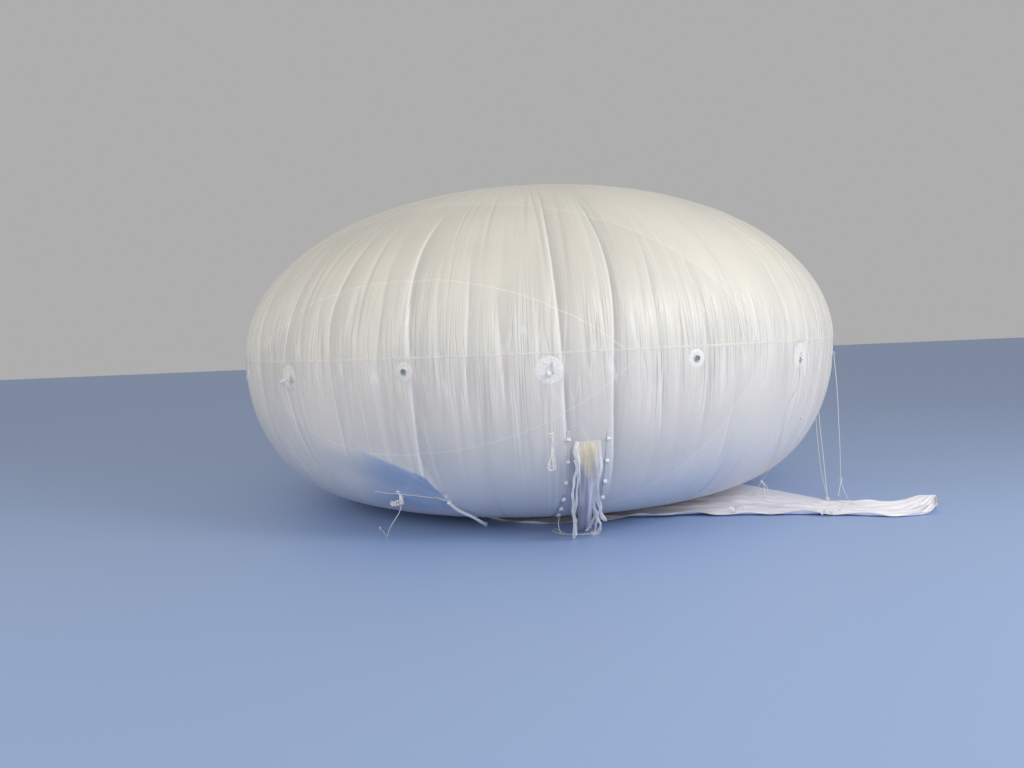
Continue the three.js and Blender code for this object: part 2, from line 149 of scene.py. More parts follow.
# %% Wires
class Wire:
    """A socket inside a material; an operator on it adds a Math node."""

    def __init__(self, tree, socket=None):
        self.tree = tree
        self.socket = socket

    def node(self, kind, sockets=None, settings=None, output=0):
        made = self.tree.nodes.new("ShaderNode" + kind)
        for name, value in (settings or {}).items():
            setattr(made, name, value)
        for name, value in (sockets or {}).items():
            plug(made, name, value)
        return Wire(self.tree, made.outputs[output])

    def math(self, operation, *values):
        """A Math node on the values, or on this Wire alone where none are given."""
        return self.node("Math", dict(enumerate(values or (self,))), {"operation": operation})

    def range(self, low, high, first=0.0, last=1.0):
        """A smooth step from first to last as the value goes from low to high."""
        return self.node("MapRange", {"Value": self, "From Min": low, "From Max": high,
                                      "To Min": first, "To Max": last},
                         {"interpolation_type": "SMOOTHSTEP"})

    def fall(self, low, high):
        """A smooth step from 1 to 0."""
        return self.range(low, high, 1.0, 0.0)

    def mix(self, first, last):
        """Colour first where the value is 0 and last where it is 1; numbers are linear."""
        first, last = ((*end, 1.0) if isinstance(end, tuple) else end for end in (first, last))
        return self.node("Mix", {0: self, 6: first, 7: last}, {"data_type": "RGBA"}, output=2)

    def split(self):
        """The three parts of a vector."""
        outputs = self.node("SeparateXYZ", {0: self}).socket.node.outputs
        return [Wire(self.tree, part) for part in outputs]

    def layer(self, name):
        """The u and v of a named layer of coordinates."""
        return self.node("UVMap", settings={"uv_map": name}).split()[:2]

    def noise(self, scale, detail=2.0, roughness=0.5):
        """Noise read at this vector."""
        return self.node("TexNoise", {"Vector": self, "Scale": scale, "Detail": detail,
                                      "Roughness": roughness})


# each operator, and its reflected form for a number on the left of a Wire
for sign, operation in (("add", "ADD"), ("sub", "SUBTRACT"), ("mul", "MULTIPLY"),
                        ("truediv", "DIVIDE")):
    setattr(Wire, f"__{sign}__", lambda self, other, how=operation: self.math(how, self, other))
    setattr(Wire, f"__r{sign}__", lambda self, other, how=operation: self.math(how, other, self))


def plug(node, name, value):
    """Link a Wire to a node's socket, or set the socket to a value."""
    if isinstance(value, Wire):
        value.tree.links.new(value.socket, node.inputs[name])
    else:
        node.inputs[name].default_value = value


def start_material(name):
    """An empty material, a Wire with the object's coordinates, and its surface shader."""
    material = bpy.data.materials.new(name)
    material.use_nodes = True
    tree = material.node_tree
    return material, Wire(tree).node("TexCoord", output=3), tree.nodes["Principled BSDF"]


def finish(shader, base, height, distance, roughness, strength=1.0):
    """A surface's colour, its relief as a height times a distance in metres, and its roughness."""
    relief = base.node("Bump", {"Height": height, "Strength": strength, "Distance": distance})
    for name, value in (("Base Color", base), ("Normal", relief), ("Roughness", roughness)):
        plug(shader, name, value)


def shaded(tint, share):
    """A colour with its three values times a share."""
    return tuple(share * value for value in tint)


# %% [markdown]
# Rope is laid or braided from strands that run round it, so its relief follows the piece's own lay
# coordinates: u goes once round and v is the length in metres. A diagonal sine is the strands'
# shape.

# %% Rope finish
def rope_material(name, tint, pitch):
    """White rope: a diagonal sine for the strands, a little soiling in patches, and painted shade
    in the hollows between the strands.
    """
    material, where, shader = start_material(name)
    u, v = where.layer("lay")
    turn, strands_round = 6.2832, 3
    across, along = u * (strands_round * turn), v * (turn / pitch)
    strands, crossing = (across + along).math("SINE"), (across - along).math("SINE")
    relief = strands.math("MAXIMUM", strands, crossing) * 0.5 + 0.5
    shade = where.noise(9.0, 4.0).range(0.35, 0.75) * 0.5 + (1 - relief) * 0.4
    finish(shader, shade.mix(tint, shaded(tint, 0.80)), relief, 0.0012, 0.85, strength=0.8)
    return material


rope_white = rope_material("rope_braid", (0.97, 0.945, 0.885), 0.014)

# %% [markdown]
# A rope is a round section carried along a smooth curve. The curve goes through the same points as
# the solid's, so it lies where the solid lies. The section turns as little as it can from ring to
# ring.

# %% Curves and tubes
def smooth_path(points, spacing=0.02):
    """A centripetal Catmull-Rom curve through the points, sampled about every spacing metres."""
    p = np.vstack([2 * points[0] - points[1], points, 2 * points[-1] - points[-2]])
    knots = np.cumsum(np.r_[0, np.sqrt(np.linalg.norm(np.diff(p, axis=0), axis=1))])
    pieces = []
    for i in range(1, len(p) - 2):
        count = max(2, int(np.ceil(np.linalg.norm(p[i + 1] - p[i]) / spacing)))
        t = np.linspace(knots[i], knots[i + 1], count, endpoint=False)[:, None]

        def between(start, end, a, b):
            """From a where t is start to b where t is end."""
            return (end - t) / (end - start) * a + (t - start) / (end - start) * b

        k = knots[i - 1:i + 3]
        a = [between(k[j], k[j + 1], p[i + j - 1], p[i + j]) for j in range(3)]
        b = [between(k[j], k[j + 2], a[j], a[j + 1]) for j in range(2)]
        pieces.append(between(k[1], k[2], *b))
    return np.vstack([*pieces, p[-2:-1]])


def distances(path):
    """How far along a path each of its points is."""
    return np.r_[0, np.cumsum(np.linalg.norm(np.diff(path, axis=0), axis=1))]


def path_length(path):
    """The sum of the distances between neighbouring points."""
    return float(distances(path)[-1])


def make_tube(name, path, radius, material, sides=8):
    """Rings round the path: centre + radius (cos a * aside + sin a * across)."""
    tangent = unit(np.gradient(path, axis=0))
    aside = np.zeros_like(tangent)
    last = unit(np.cross(tangent[0], np.eye(3)[np.argmin(np.abs(tangent[0]))]))
    for i in range(len(path)):
        last = last - tangent[i] * (last @ tangent[i])
        last = last / np.linalg.norm(last)
        aside[i] = last
    across = np.cross(tangent, aside)
    angle = circle(sides)[None, :, None]
    rings = path[:, None] + radius * (np.cos(angle) * aside[:, None]
                                      + np.sin(angle) * across[:, None])
    uv = stacked(np.arange(sides) / sides, distances(path)[:, None])
    return make_piece(name, rings, material, around=True, ends=True, uv={"lay": uv})


def make_knot(name, centre, size, direction, thickness=0.0032, material=rope_white, slot="rope"):
    """A knot: a tube on the torus curve that winds three times across as it goes twice round."""
    t = circle(90)
    r = size * (0.62 + 0.38 * np.cos(3 * t))
    local = stacked(r * np.cos(2 * t), r * np.sin(2 * t), 0.75 * size * np.sin(3 * t))
    z = unit(np.asarray(direction, float))
    x = unit(np.cross(z, [0.3, 0.9, 0.2]))
    path = np.asarray(centre) + local @ np.stack([x, np.cross(z, x), z])
    return make_tube(name, np.vstack([path, path[:1]]), thickness, material)


# %% [markdown]
# The rope at the front hangs from its webbing eye to a knot, under which its spare length is
# folded into a small hank. The other free ropes are a short end at 45 degrees, the line at 67
# degrees that goes down to the sail, the cord of the lacing and the tie on the underside. Each one
# prints its length.

# %% Free ropes
rope_radius = 0.003


def make_rope(name, path, *solids):
    """A rope along a path, in place of the named solids."""
    rope = make_tube(name, path, rope_radius, rope_white)
    if solids:
        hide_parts(*solids)
    print(name, round(path_length(path), 3), "m")
    return rope


def free_rope(name, solids, points, knots, tails={}, spacing=0.02):
    """A rope that a hand can move, with its knots and tails. A knot has a name, a place, a size
    and a direction; a number for its place is its height over the rope's end."""
    path = smooth_path(points, spacing)
    rope = make_rope(name, path, *solids)
    for knot, at, *shape in knots:
        make_knot(knot, path[-2] + (0, 0, at) if np.isscalar(at) else at, *shape)
    for tail, tail_points in tails.items():
        make_rope(tail, smooth_path(mm(tail_points)))


# each loop of the hank: the places across where it turns at the bottom, and how low that is
hank_loops = [(-0.041, 0.004, -0.882), (-0.031, 0.019, -0.876), (-0.024, 0.017, -0.855)]
lane_gap, loop_gap, neck_size, neck_low = 0.0065, 0.007, 0.021, -0.72
front_lane, back_lane = -3.2345, -3.2215
half_turn = np.linspace(0, np.pi, 7)
hank_runs = []
for number, (left, right, low) in enumerate(hank_loops):
    # in the neck every strand has a lane of its own: down at the front, up at the back
    size, lane, depth = (right - left) / 2, lane_gap * (number - 1), -3.236 + loop_gap * number
    down = [(lane, front_lane, neck_low), (lane - 0.006, front_lane, low + 0.088),
            (left + 0.004, depth, low + 0.028)]
    bottom = stacked((left + right) / 2 - size * np.cos(half_turn), depth,
                     low - size * np.sin(half_turn))
    up = [(right - 0.004, depth, low + 0.028), (lane + 0.003, back_lane, low + 0.088),
          (lane, back_lane, neck_low)]
    top = stacked(lane + lane_gap * half_turn / np.pi, -3.228 + neck_size * np.cos(half_turn),
                  -0.662 + neck_size * np.sin(half_turn))
    hank_runs += [down, bottom, up, top]
hand_points = mm([[0, -3214, -183], [8, -3222, -260], [5, -3227, -450], [0, -3228, -622]])
hand_points = np.vstack([hand_points, [(-0.004, -3.236, -0.668)], *hank_runs[:-1],
                         [(0.0065, -3.217, -0.66)]])
free_rope("hand_rope_line", ["hand_rope", "hand_rope_hank"], hand_points,
          [("hand_rope_knot", (0.0, -3.230, -0.630), 0.020, (0.3, 1, 0.2), 0.0036)],
          spacing=0.006)
free_rope("short_rope_line", ["short_rope_right_45"], mm([
    [2272, -2272, -183], [2278, -2280, -300], [2285, -2285, -450], [2283, -2284, -600],
    [2240, -2290, -700]]), [("short_rope_knot", 0, 0.009, (-0.4, 0, -1))])
free_rope("sail_line_67", ["sail_line_right_67_5"], mm([
    [2968, -1229, -183], [2985, -1250, -500], [2990, -1270, -900], [2990, -1290, -1250],
    [2988, -1300, -1440], [2977, -1400, -1530], [2957, -1540, -1590]]),
    [("sail_line_67_knot", (2.988, -1.300, -1.440), 0.013, (0, 0.3, 1))],
    {"sail_line_67_tail": [[2986, -1304, -1446], [2945, -1365, -1530], [2915, -1405, -1585]]})
free_rope("lacing_cord_line", ["lacing_cord"], mm([
    [75, -2378, -1462], [62, -2440, -1500], [68, -2462, -1555], [90, -2450, -1596],
    [118, -2412, -1605], [100, -2300, -1606.5], [50, -2200, -1606.5], [15, -2250, -1606.5],
    [70, -2360, -1606.5], [143, -2411, -1606.5], [220, -2428, -1606.5], [298, -2430, -1606.5],
    [372, -2430, -1606.5]]), [("lacing_cord_knot", 0.010, 0.009, (1, 0, 0.1))])
free_rope("underside_tie_line", ["underside_tie"], mm([
    [-1296, -2418, -1257], [-1310, -2432, -1330], [-1400, -2420, -1470], [-1450, -2330, -1575],
    [-1462, -2270, -1600], [-1480, -2200, -1606.5], [-1545, -2000, -1606.5],
    [-1590, -1900, -1606.5]]),
    [("underside_tie_knot", (-1.296, -2.418, -1.257), 0.010, (0.2, 0.3, 1)),
     ("underside_tie_end", 0.010, 0.009, (-0.4, 1, 0.1))])

# %% [markdown]
# Two lines on the right go from their webbing eyes to the sail's edge and pull it up. They are
# taut rigging rather than free cord: one follows the belly and ends in a knot with tails, the
# other is a pair that meets in a small bundle on the sail.

# %% Taut stays
stay_knot = [2190, -1290, -1425]
make_rope("sail_stay_45", smooth_path(mm([
    [2262, -2288, -183], [2236, -2272, -393], [2142, -2308, -564], [2114, -2247, -746],
    [2122, -2069, -977], [2110, -1929, -1118], [2144, -1695, -1243], [2185, -1430, -1345],
    stay_knot])), "sail_stay_right_45")
make_knot("sail_stay_45_knot", mm(stay_knot), 0.013, (0, 0.3, 1))
stay_tails = {
    "back": [[2160, -1240, -1510], [2135, -1195, -1590]],
    "front": [[2205, -1330, -1470], [2196, -1360, -1540], [2215, -1400, -1602]],
    "side": [[2215, -1285, -1450], [2238, -1300, -1480], [2242, -1320, -1520]],
}
for name, points in stay_tails.items():
    make_rope("sail_stay_45_tail_" + name, smooth_path(mm([stay_knot, *points])))
make_rope("sail_stay_90", smooth_path(mm([
    [3216, -4, -183], [3187, -190, -350], [3127, -375, -527], [3055, -560, -700],
    [2990, -750, -880], [2880, -1130, -1235], [2775, -1485, -1580]])), "sail_stays_right_90")
make_rope("sail_stay_90_slack", smooth_path(mm([
    [3216, 4, -183], [3212, -30, -500], [3185, -120, -850], [3110, -380, -1200],
    [2950, -900, -1470], [2784, -1482, -1582]])), "sail_stays_right_90")
make_knot("sail_stay_90_bundle", (2.776, -1.489, -1.588), 0.017, (0.3, 0.2, 1), 0.005)

# %% [markdown]
# The skin is a polar grid on each half. Its places are an azimuth and the distance along the skin
# from the pole, so a meridian table gives radius and height for each distance. The gathered rim
# makes pleats that run along the meridians, and one function of azimuth and height above the
# equator gives how far the cloth stands out there, so both halves meet in the same wave.

# %% The meridians
radius = 3.198
metres_per_degree = np.pi / 180 * radius
# each half's side, height and fullness
halves = {"upper": (1, 1.755, 2.234), "lower": (-1, 1.602, 5.392)}
strip_width = 1.115
strip_azimuth = np.radians(-22.5)


def meridian(side, height, fullness):
    """Distance from the pole, radius, height and normal on (r / a)^n + (z / h)^2 = 1."""
    share = np.sin(np.linspace(0, np.pi / 2, 4001))
    r = radius * share
    z = side * height * np.sqrt(np.maximum(0, 1 - share ** fullness))
    along = np.r_[0, np.cumsum(np.hypot(np.diff(r), np.diff(z)))]
    slope = np.stack([fullness / radius * share ** (fullness - 1), 2 * z / height ** 2], -1)
    slope[0] = (0, side)
    return along, r, z, unit(slope)


tables = {name: meridian(*shape) for name, shape in halves.items()}
reach = {name: table[0][-1] for name, table in tables.items()}
print("skin from pole to rim:", {name: round(value, 3) for name, value in reach.items()})


def smooth_skin(half, azimuth, along):
    """Point and normal of the smooth envelope at an azimuth and a distance from the pole."""
    table, r, z, normal = tables[half]
    at = [np.interp(along, table, column) for column in (r, z, normal[:, 0], normal[:, 1])]
    sin, cos = np.sin(azimuth), np.cos(azimuth)
    return (stacked(at[0] * sin, -at[0] * cos, at[1]),
            stacked(at[2] * sin, -at[2] * cos, at[3]))


# %% [markdown]
# Where a rim is gathered, the gas blows the cloth up between the pleats, so a pleat is a crease
# that points inwards with a soft bulge on each side. The strong creases at the front stand where
# the picture shows them. Others follow the same spacing round the back, with a fixed seed.
# Hundreds of short wrinkles crowd towards the rim seam, and long shallow ones run up the dome.

# %% Pleats and wrinkles
draw = np.random.default_rng(20)
# azimuth, depth of the crease in mm, how far up and how far down it reaches in metres
front_pleats = [
    (-57.0, 9, 0.9, 0.8), (-46.2, 13, 1.2, 1.6), (-41.0, 6, 1.2, 0.1), (-34.6, 13, 1.7, 1.1),
    (-25.4, 10, 0.6, 0.25), (-20.0, 21, 1.8, 1.7), (-16.6, 5, 0.5, 0.3), (-11.4, 12, 0.9, 0.5),
    (-6.5, 10, 0.7, 0.4), (-1.4, 8, 0.5, 0.3), (1.8, 24, 2.4, 1.4), (5.0, 5, 0.6, 0.2),
    (9.2, 24, 2.3, 1.5), (12.6, 6, 0.6, 0.4), (15.9, 13, 1.2, 0.9), (19.2, 9, 0.6, 0.6),
    (23.8, 14, 1.4, 0.9), (26.5, 5, 0.5, 0.4), (29.7, 12, 2.0, 1.4), (35.0, 5, 0.5, 0.3),
    (41.4, 11, 1.0, 1.5), (46.5, 5, 0.5, 0.2), (53.2, 9, 1.0, 0.9), (59.5, 8, 0.8, 0.8),
]
leaning_pleat = 1.8
back_pleats = []
azimuth = 66.0
while azimuth < 297.0:
    back_pleats.append((azimuth, draw.uniform(5, 17), draw.uniform(0.5, 2.0),
                        draw.uniform(0.4, 1.4)))
    azimuth += draw.uniform(4.5, 9.0)
pleats = np.array(front_pleats + back_pleats)
fitting_drop = 0.133
tethers = [0, 45, 67.5, 90, 135, 180, -135, -90, -67.5, -45]
valve_places = {21.8: 0.095, 112.5: fitting_drop, 157.5: fitting_drop, -157.5: fitting_drop,
                -112.5: fitting_drop, -21.0: 0.107}


def turn_between(azimuth, centre):
    """The signed angle from centre to azimuth, in degrees, the short way round."""
    return (np.degrees(azimuth) - centre + 180) % 360 - 180


def at_pleat(azimuth, level, number, start):
    """How far right of a crease a place is, in metres, and a window that is 1 at the rim and fades
    from a share of the crease's reach. The crease's line wanders by a slow sine of the height,
    but the longest one leans by 4 cm a metre."""
    centre, _, rise, fall = pleats[number]
    wander, pace, phase = 0.022, 3.1, 2.3 * number
    x = turn_between(azimuth, centre) * metres_per_degree
    if centre == leaning_pleat:
        x = x + 0.04 * level
    else:
        x = x + wander * (np.sin(pace * level + phase) - np.sin(phase))
    return x, np.where(level > 0, 1 - smooth(start * rise, rise, level),
                       1 - smooth(start * fall, fall, -level))


def pleat_relief(azimuth, level):
    """How far the cloth stands out, in metres, at an azimuth and a distance above the rim.

    A crease has a steep wall on its left, exp(-x / 11 mm), and a gentle one on its right,
    0.4 exp(-x / 16 mm) + 0.6 exp(-x / (7 * depth)), times its window. The bulge between two
    creases is a parabola.
    """
    relief = np.zeros(np.broadcast(azimuth, level).shape)
    blunt, bulge_height, parting_depth = 0.004, 0.035, 7
    for number, depth in enumerate(pleats[:, 1]):
        x, window = at_pleat(azimuth, level, number, 0.3)
        away = np.sqrt(x ** 2 + blunt ** 2) - blunt
        gentle = 0.4 * np.exp(-away / 0.016) + 0.6 * np.exp(-away / (0.007 * depth))
        relief -= 0.001 * depth * np.where(x < 0, np.exp(-away / 0.011), gentle) * window
    edges = np.sort(pleats[pleats[:, 1] > parting_depth, 0] % 360)
    edges = np.r_[edges, edges[0] + 360]
    place = (np.degrees(azimuth) - edges[0]) % 360 + edges[0]
    index = np.clip(np.searchsorted(edges, place, side="right") - 1, 0, len(edges) - 2)
    width = edges[index + 1] - edges[index]
    share = (place - edges[index]) / width
    bulge = 4 * share * (1 - share) * width * metres_per_degree * bulge_height
    return relief + bulge * (1 - smooth(0.3, 1.8, np.abs(level)))


def pleat_marks(azimuth, level):
    """Where a crease gets a painted highlight, on its lit left wall, and painted shade in its
    hollow, on its right.

    The painted highlight is exp(-((x + 9 mm) / 9 mm)^2); the painted shade is
    exp(-x / (3 * depth)).
    """
    deepest, highlight_width = 24, 0.009
    crease_highlight = np.zeros(np.broadcast(azimuth, level).shape)
    hollow = np.zeros_like(crease_highlight)
    for number, depth in enumerate(pleats[:, 1]):
        x, window = at_pleat(azimuth, level, number, 0.4)
        window = window * depth / deepest
        crease_highlight = np.maximum(crease_highlight, window * np.exp(-((x + highlight_width) / highlight_width) ** 2))
        hollow = np.maximum(hollow, window * np.where(x > 0, np.exp(-x / (0.003 * depth)), 0))
    return np.stack([crease_highlight, hollow], -1)


def wrinkle_relief(azimuth, level, count, seed, low, high, longest):
    """A sum of ridges exp(-(x / width)^2) * exp(-(y / length)^2) at random places."""
    rng = np.random.default_rng(seed)
    relief = np.zeros(np.broadcast(azimuth, level).shape)
    columns = np.degrees(azimuth[0])
    for _ in range(count):
        centre, slant = rng.uniform(-180, 180), rng.normal(0, 0.8)
        middle = rng.uniform(low, high)
        length = rng.uniform(0.3, 1.0) * longest
        width = rng.uniform(0.012, 0.034)
        height = rng.normal(-0.5, 0.8) * width * 0.22
        near = np.abs((columns - centre + 180) % 360 - 180) < 5
        y = level - middle
        x = turn_between(azimuth[:, near], centre + slant * y) * metres_per_degree
        relief[:, near] += height * np.exp(-(x / width) ** 2 - (y / length) ** 2)
    return relief


# where a pull gathers the cloth: azimuth and distance below the rim, the first and last direction
# of its folds in degrees from straight up, how many there are, their length in metres and depth
# in mm
pulls = [(-18.6, 1.33, -50, 4, 8, 0.62, 17), (-28.2, 1.30, -35, 50, 8, 0.35, 9),
         (-45.0, 0.20, 150, 205, 4, 0.45, 6), (0.0, 0.16, 165, 200, 3, 0.3, 5),
         (45.0, 0.16, 160, 200, 3, 0.3, 5), (5.5, 0.72, -25, 25, 7, 0.22, 5)]


def pull_relief(azimuth, level):
    """Folds that run together at a pull: -depth * exp(-(across / width)^2), where the width grows
    with the distance from the pull, in a window that fades at its length."""
    relief = np.zeros(np.broadcast(azimuth, level).shape)
    around_rim = np.interp(reach["lower"] + level, *tables["lower"][:2])
    for centre, drop, first, last, count, length, depth in pulls:
        x = np.radians(turn_between(azimuth, centre)) * around_rim
        y = level + drop
        for number, direction in enumerate(np.radians(np.linspace(first, last, count))):
            run = x * np.sin(direction) + y * np.cos(direction)
            across = x * np.cos(direction) - y * np.sin(direction)
            width = 0.011 + 0.035 * np.maximum(run, 0)
            window = smooth(0.0, 0.08, run) * (1 - smooth(0.4 * length, length, run))
            share = 0.6 + 0.4 * np.sin(2.7 * number + centre)
            relief -= 0.001 * depth * share * np.exp(-(across / width) ** 2) * window
    # between the two tabs the skin is drawn down flat from a ridge that slopes to the right
    side = turn_between(azimuth, -18.6)
    below = -level - np.interp(side, [-22, -8, -2.5, 0, 2], [0.72, 0.85, 1.0, 1.25, 1.5])
    ridge = np.exp(-np.maximum(-below, 0) / 0.22) * (1 - smooth(0.0, 0.34, below))
    return relief + 0.045 * ridge * smooth(-26, -14, side) * (1 - smooth(-1.5, 1.0, side))


def fitting_calm(azimuth, level):
    """0 under a stiff patch and 1 away from it."""
    calm = np.ones(np.broadcast(azimuth, level).shape)
    for centre, drop in [(a, fitting_drop) for a in tethers] + list(valve_places.items()):
        x = turn_between(azimuth, centre) * metres_per_degree
        calm *= smooth(0.06, 0.2, np.hypot(x, level + drop))
    return calm


# %% [markdown]
# The skin of each half gets 1400 columns and about seventy rows. The columns are 9 mm apart at the
# front, where the pleats are sharpest, and 22 mm at the back, and the lower half's rows stand
# closer on its side. The points are kept as an array, because seams, patches and tapes are laid on
# the skin later by reading between its points.

# %% The skins' points
columns = 1400
rows, pole_rows, belly_side = 69, 15, reach["lower"] - 1.8
dense = np.linspace(-np.pi, np.pi, 4001)
density = 0.42 + 0.58 * (1 - smooth(np.radians(68), np.radians(80), np.abs(dense)))
filled = np.r_[0, np.cumsum((density[1:] + density[:-1]) / 2)]
column_places = np.interp(np.arange(columns + 1) / columns * filled[-1], filled, dense)
around = column_places[None, :-1]
row_places = {
    "upper": np.linspace(0, reach["upper"], rows),
    "lower": np.r_[np.linspace(0, belly_side, pole_rows)[:-1],
                   np.linspace(belly_side, reach["lower"], rows - pole_rows + 1)],
}
# wrinkles: how many, their seed, the lowest and highest level and the greatest length in metres
rim_wrinkles = (520, 3, -0.45, 0.6, 0.35)
half_wrinkles = {"upper": (260, 4, 0.3, 2.6, 0.9), "lower": (200, 5, -1.9, -0.3, 0.7)}
skins = {}
for half, (side, _, _) in halves.items():
    along = row_places[half][:, None]
    level = side * (reach[half] - along)
    point, normal = smooth_skin(half, around, along)
    relief = pleat_relief(around, level)
    for wrinkles in (rim_wrinkles, half_wrinkles[half]):
        relief = relief + wrinkle_relief(around, level, *wrinkles)
    if half == "lower":
        relief = relief + pull_relief(around, level)
    calm = fitting_calm(around, level)
    relief = relief * calm * smooth(0.3, 1.4, np.interp(along, *tables[half][:2]))
    skins[half] = {"point": point + normal * relief[..., None], "normal": normal,
                   "marks": pleat_marks(around, level) * calm[..., None]}
    print(half, "skin relief from", round(relief.min() * 1000, 1), "to",
          round(relief.max() * 1000, 1), "mm")


def on_skin(half, azimuth, along, lift=0.0):
    """A point of the finished skin, between four points of its grid, raised along its normal."""
    azimuth, along = np.broadcast_arrays(azimuth, along)
    i = np.clip(np.interp(along, row_places[half], np.arange(rows)), 0, rows - 1.000001)
    turned_to = (azimuth + np.pi) % (2 * np.pi) - np.pi
    j = np.interp(turned_to, column_places, np.arange(columns + 1)) % columns
    i0, j0 = i.astype(int), j.astype(int) % columns
    s, t = (i - i0)[..., None], (j - np.floor(j))[..., None]
    j1 = (j0 + 1) % columns

    def between(grid):
        low = grid[i0, j0] * (1 - t) + grid[i0, j1] * t
        high = grid[i0 + 1, j0] * (1 - t) + grid[i0 + 1, j1] * t
        return low * (1 - s) + high * s

    normal = unit(between(skins[half]["normal"]))
    return between(skins[half]["point"]) + normal * np.asarray(lift)[..., None]


# %% [markdown]
# The cloth is a light polyester with a coating, white and satin. Its finest folds are made in its
# finish. They follow the meridians: their noise reads the direction round the axis times the rim's
# radius, and height only weakly, so it is long along a meridian and has no seam at the back. A
# fold is the thin line where that noise passes one half. Folds stand in groups, and crowd towards
# the rim. The welded seams between the strips come from the lay coordinates, in which every strip
# is one unit wide.

# %% Envelope cloth
def envelope_material(name, rim_tint, far_tint, seam_tint, seam_share, far_height, shade_and_crumple=None):
    """White coated cloth with strip seams, fine meridional folds and slightly different strips. Its
    colour goes from rim_tint at the rim to far_tint away from it; the folds and the left walls of
    the creases get a painted highlight, and the creases' hollows painted shade.

    seam_share is how far a seam's colour goes from the cloth's to seam_tint, and the last
    argument makes a mask from x, y and z where the cloth is crumpled and has painted shade and
    blue floor reflection.
    """
    material, where, shader = start_material(name)
    x, y, z = where.split()
    distance = (x * x + y * y + 0.0001).math("SQRT")

    def meridional(scale, rise, detail=0.0):
        stretch = {0: x / distance * radius, 1: y / distance * radius, 2: z * rise}
        return where.node("CombineXYZ", stretch).noise(scale, detail)

    def folds(scale, rise, width):
        return (meridional(scale, rise) - 0.5).math("ABSOLUTE").fall(0.0, width)

    level = z.math("ABSOLUTE")
    near_rim = level.range(0.1, 0.9, 1.0, 0.12)
    pole = distance.range(0.3, 0.9)
    fine = folds(26.0, 0.03, 0.09) * meridional(2.2, 0.35, 2.0).range(0.45, 0.62) * near_rim
    short = folds(17.0, 0.07, 0.07) * level.fall(0.05, 0.6)
    long_folds = folds(19.0, 0.012, 0.09) * meridional(1.7, 0.4, 1.0).range(0.52, 0.62)
    turn = x.math("ARCTAN2", x, y) * radius
    hatch = (turn * 300.0 + meridional(6.0, 0.1, 1.0) * 9.0).math("SINE") * 0.5 + 0.5
    hatched = meridional(1.9, 0.9, 1.0).range(0.5, 0.62) * level.range(0.1, 0.5) \
        * level.fall(1.0, 1.4)
    crumple = where.noise(26.0, 5.0, 0.6)
    across = where.layer("lay")[0]
    crease_highlight, hollow = where.layer("pleats")
    seam = (((across + 0.5).math("FRACT") - 0.5).math("ABSOLUTE") * strip_width).fall(0.004, 0.009)
    strip = where.node("TexWhiteNoise", {"W": across.math("FLOOR")}, {"noise_dimensions": "1D"})
    shade = where.noise(1.1, 4.0).range(0.3, 0.75) * 0.09 + strip * 0.05 + 0.02
    base = shade.mix(level.range(0.3, far_height).mix(rim_tint, far_tint), (0.0, 0.0, 0.0))
    # painted shade in the hollow of each crease
    base = (hollow * 0.34).mix(base, (0.30, 0.31, 0.34))
    # painted highlights along the fine folds and on the lit left wall of each crease
    painted_highlight = (fine * 0.35 + short * 0.35 + long_folds * 0.2) * pole + crease_highlight * 0.75
    base = painted_highlight.mix(base, (0.98, 0.965, 0.91))
    base = (seam * seam_share).mix(base, seam_tint)
    height = (fine * 0.9 + short * 0.9 + long_folds * 0.45 + hatch * hatched * 0.22) \
        * (0 - pole) + crumple * 0.12 + meridional(5.0, 0.08, 1.0) * near_rim * 1.2 + seam * 0.12
    if shade_and_crumple:
        mask = shade_and_crumple(x, y, z)
        # painted shade and blue floor reflection where the mask is, over the crumpled cloth
        base = mask.mix(base, (0.36, 0.47, 0.68))
        height = height + crumple * mask * 2.2 + hatch * mask * 0.3
    finish(shader, base, height, 0.0045, crumple.range(0.2, 0.8, 0.32, 0.46))
    shader.inputs["Sheen Weight"].default_value = 0.1
    return material


def shade_and_crumple_places(x, y, z):
    """Where the cloth is crumpled and has painted shade and blue floor reflection: the panel of
    the lacing with a wedge at its lower left, and the facet of the underside's tabs."""
    panel = x.range(0.09, 0.17) * x.fall(0.40, 0.47) * z.fall(-1.0, -0.72) * z.range(-1.50, -1.40)
    wedge = (x - 0.31 * z - 0.4565).range(0.0, 0.012) * (x - 0.15 * z - 0.286).fall(0.0, 0.012) \
        * z.fall(-1.22, -1.15) * z.range(-1.50, -1.44)
    facet = (z + 0.431 * x + 1.428).fall(-0.03, 0.01) * (z + 1.533 * x + 2.579).fall(-0.025, 0.01) \
        * x.range(-1.75, -1.35) * z.range(-1.42, -1.30)
    front = x.math("MAXIMUM", panel * 0.45, facet * 0.85)
    return x.math("MAXIMUM", front, wedge * 0.9) * y.fall(-0.4, -0.2)


upper_cloth = envelope_material("upper_cloth", (0.89, 0.845, 0.74), (0.82, 0.785, 0.69),
                                (0.97, 0.95, 0.88), 0.38, 1.5)
# the lower half's far tint, a greyish blue, is painted blue floor reflection and painted shade on
# the underside
lower_cloth = envelope_material("lower_cloth", (0.89, 0.825, 0.745), (0.685, 0.695, 0.76),
                                (0.93, 0.90, 0.86), 0.32, 1.45, shade_and_crumple_places)

# %% The two skins
for half, material in (("upper", upper_cloth), ("lower", lower_cloth)):
    along = row_places[half][:, None]
    lay = stacked(along * np.cos(around - strip_azimuth) / strip_width,
                  along * np.sin(around - strip_azimuth) / strip_width)
    skin = make_piece(half + "_skin", skins[half]["point"], material, around=True,
                      flip=half == "upper", uv={"lay": lay, "pleats": skins[half]["marks"]})
    weld(skin)
    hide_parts(*[f"{half}_strip_{i}" for i in range(1, 9)])

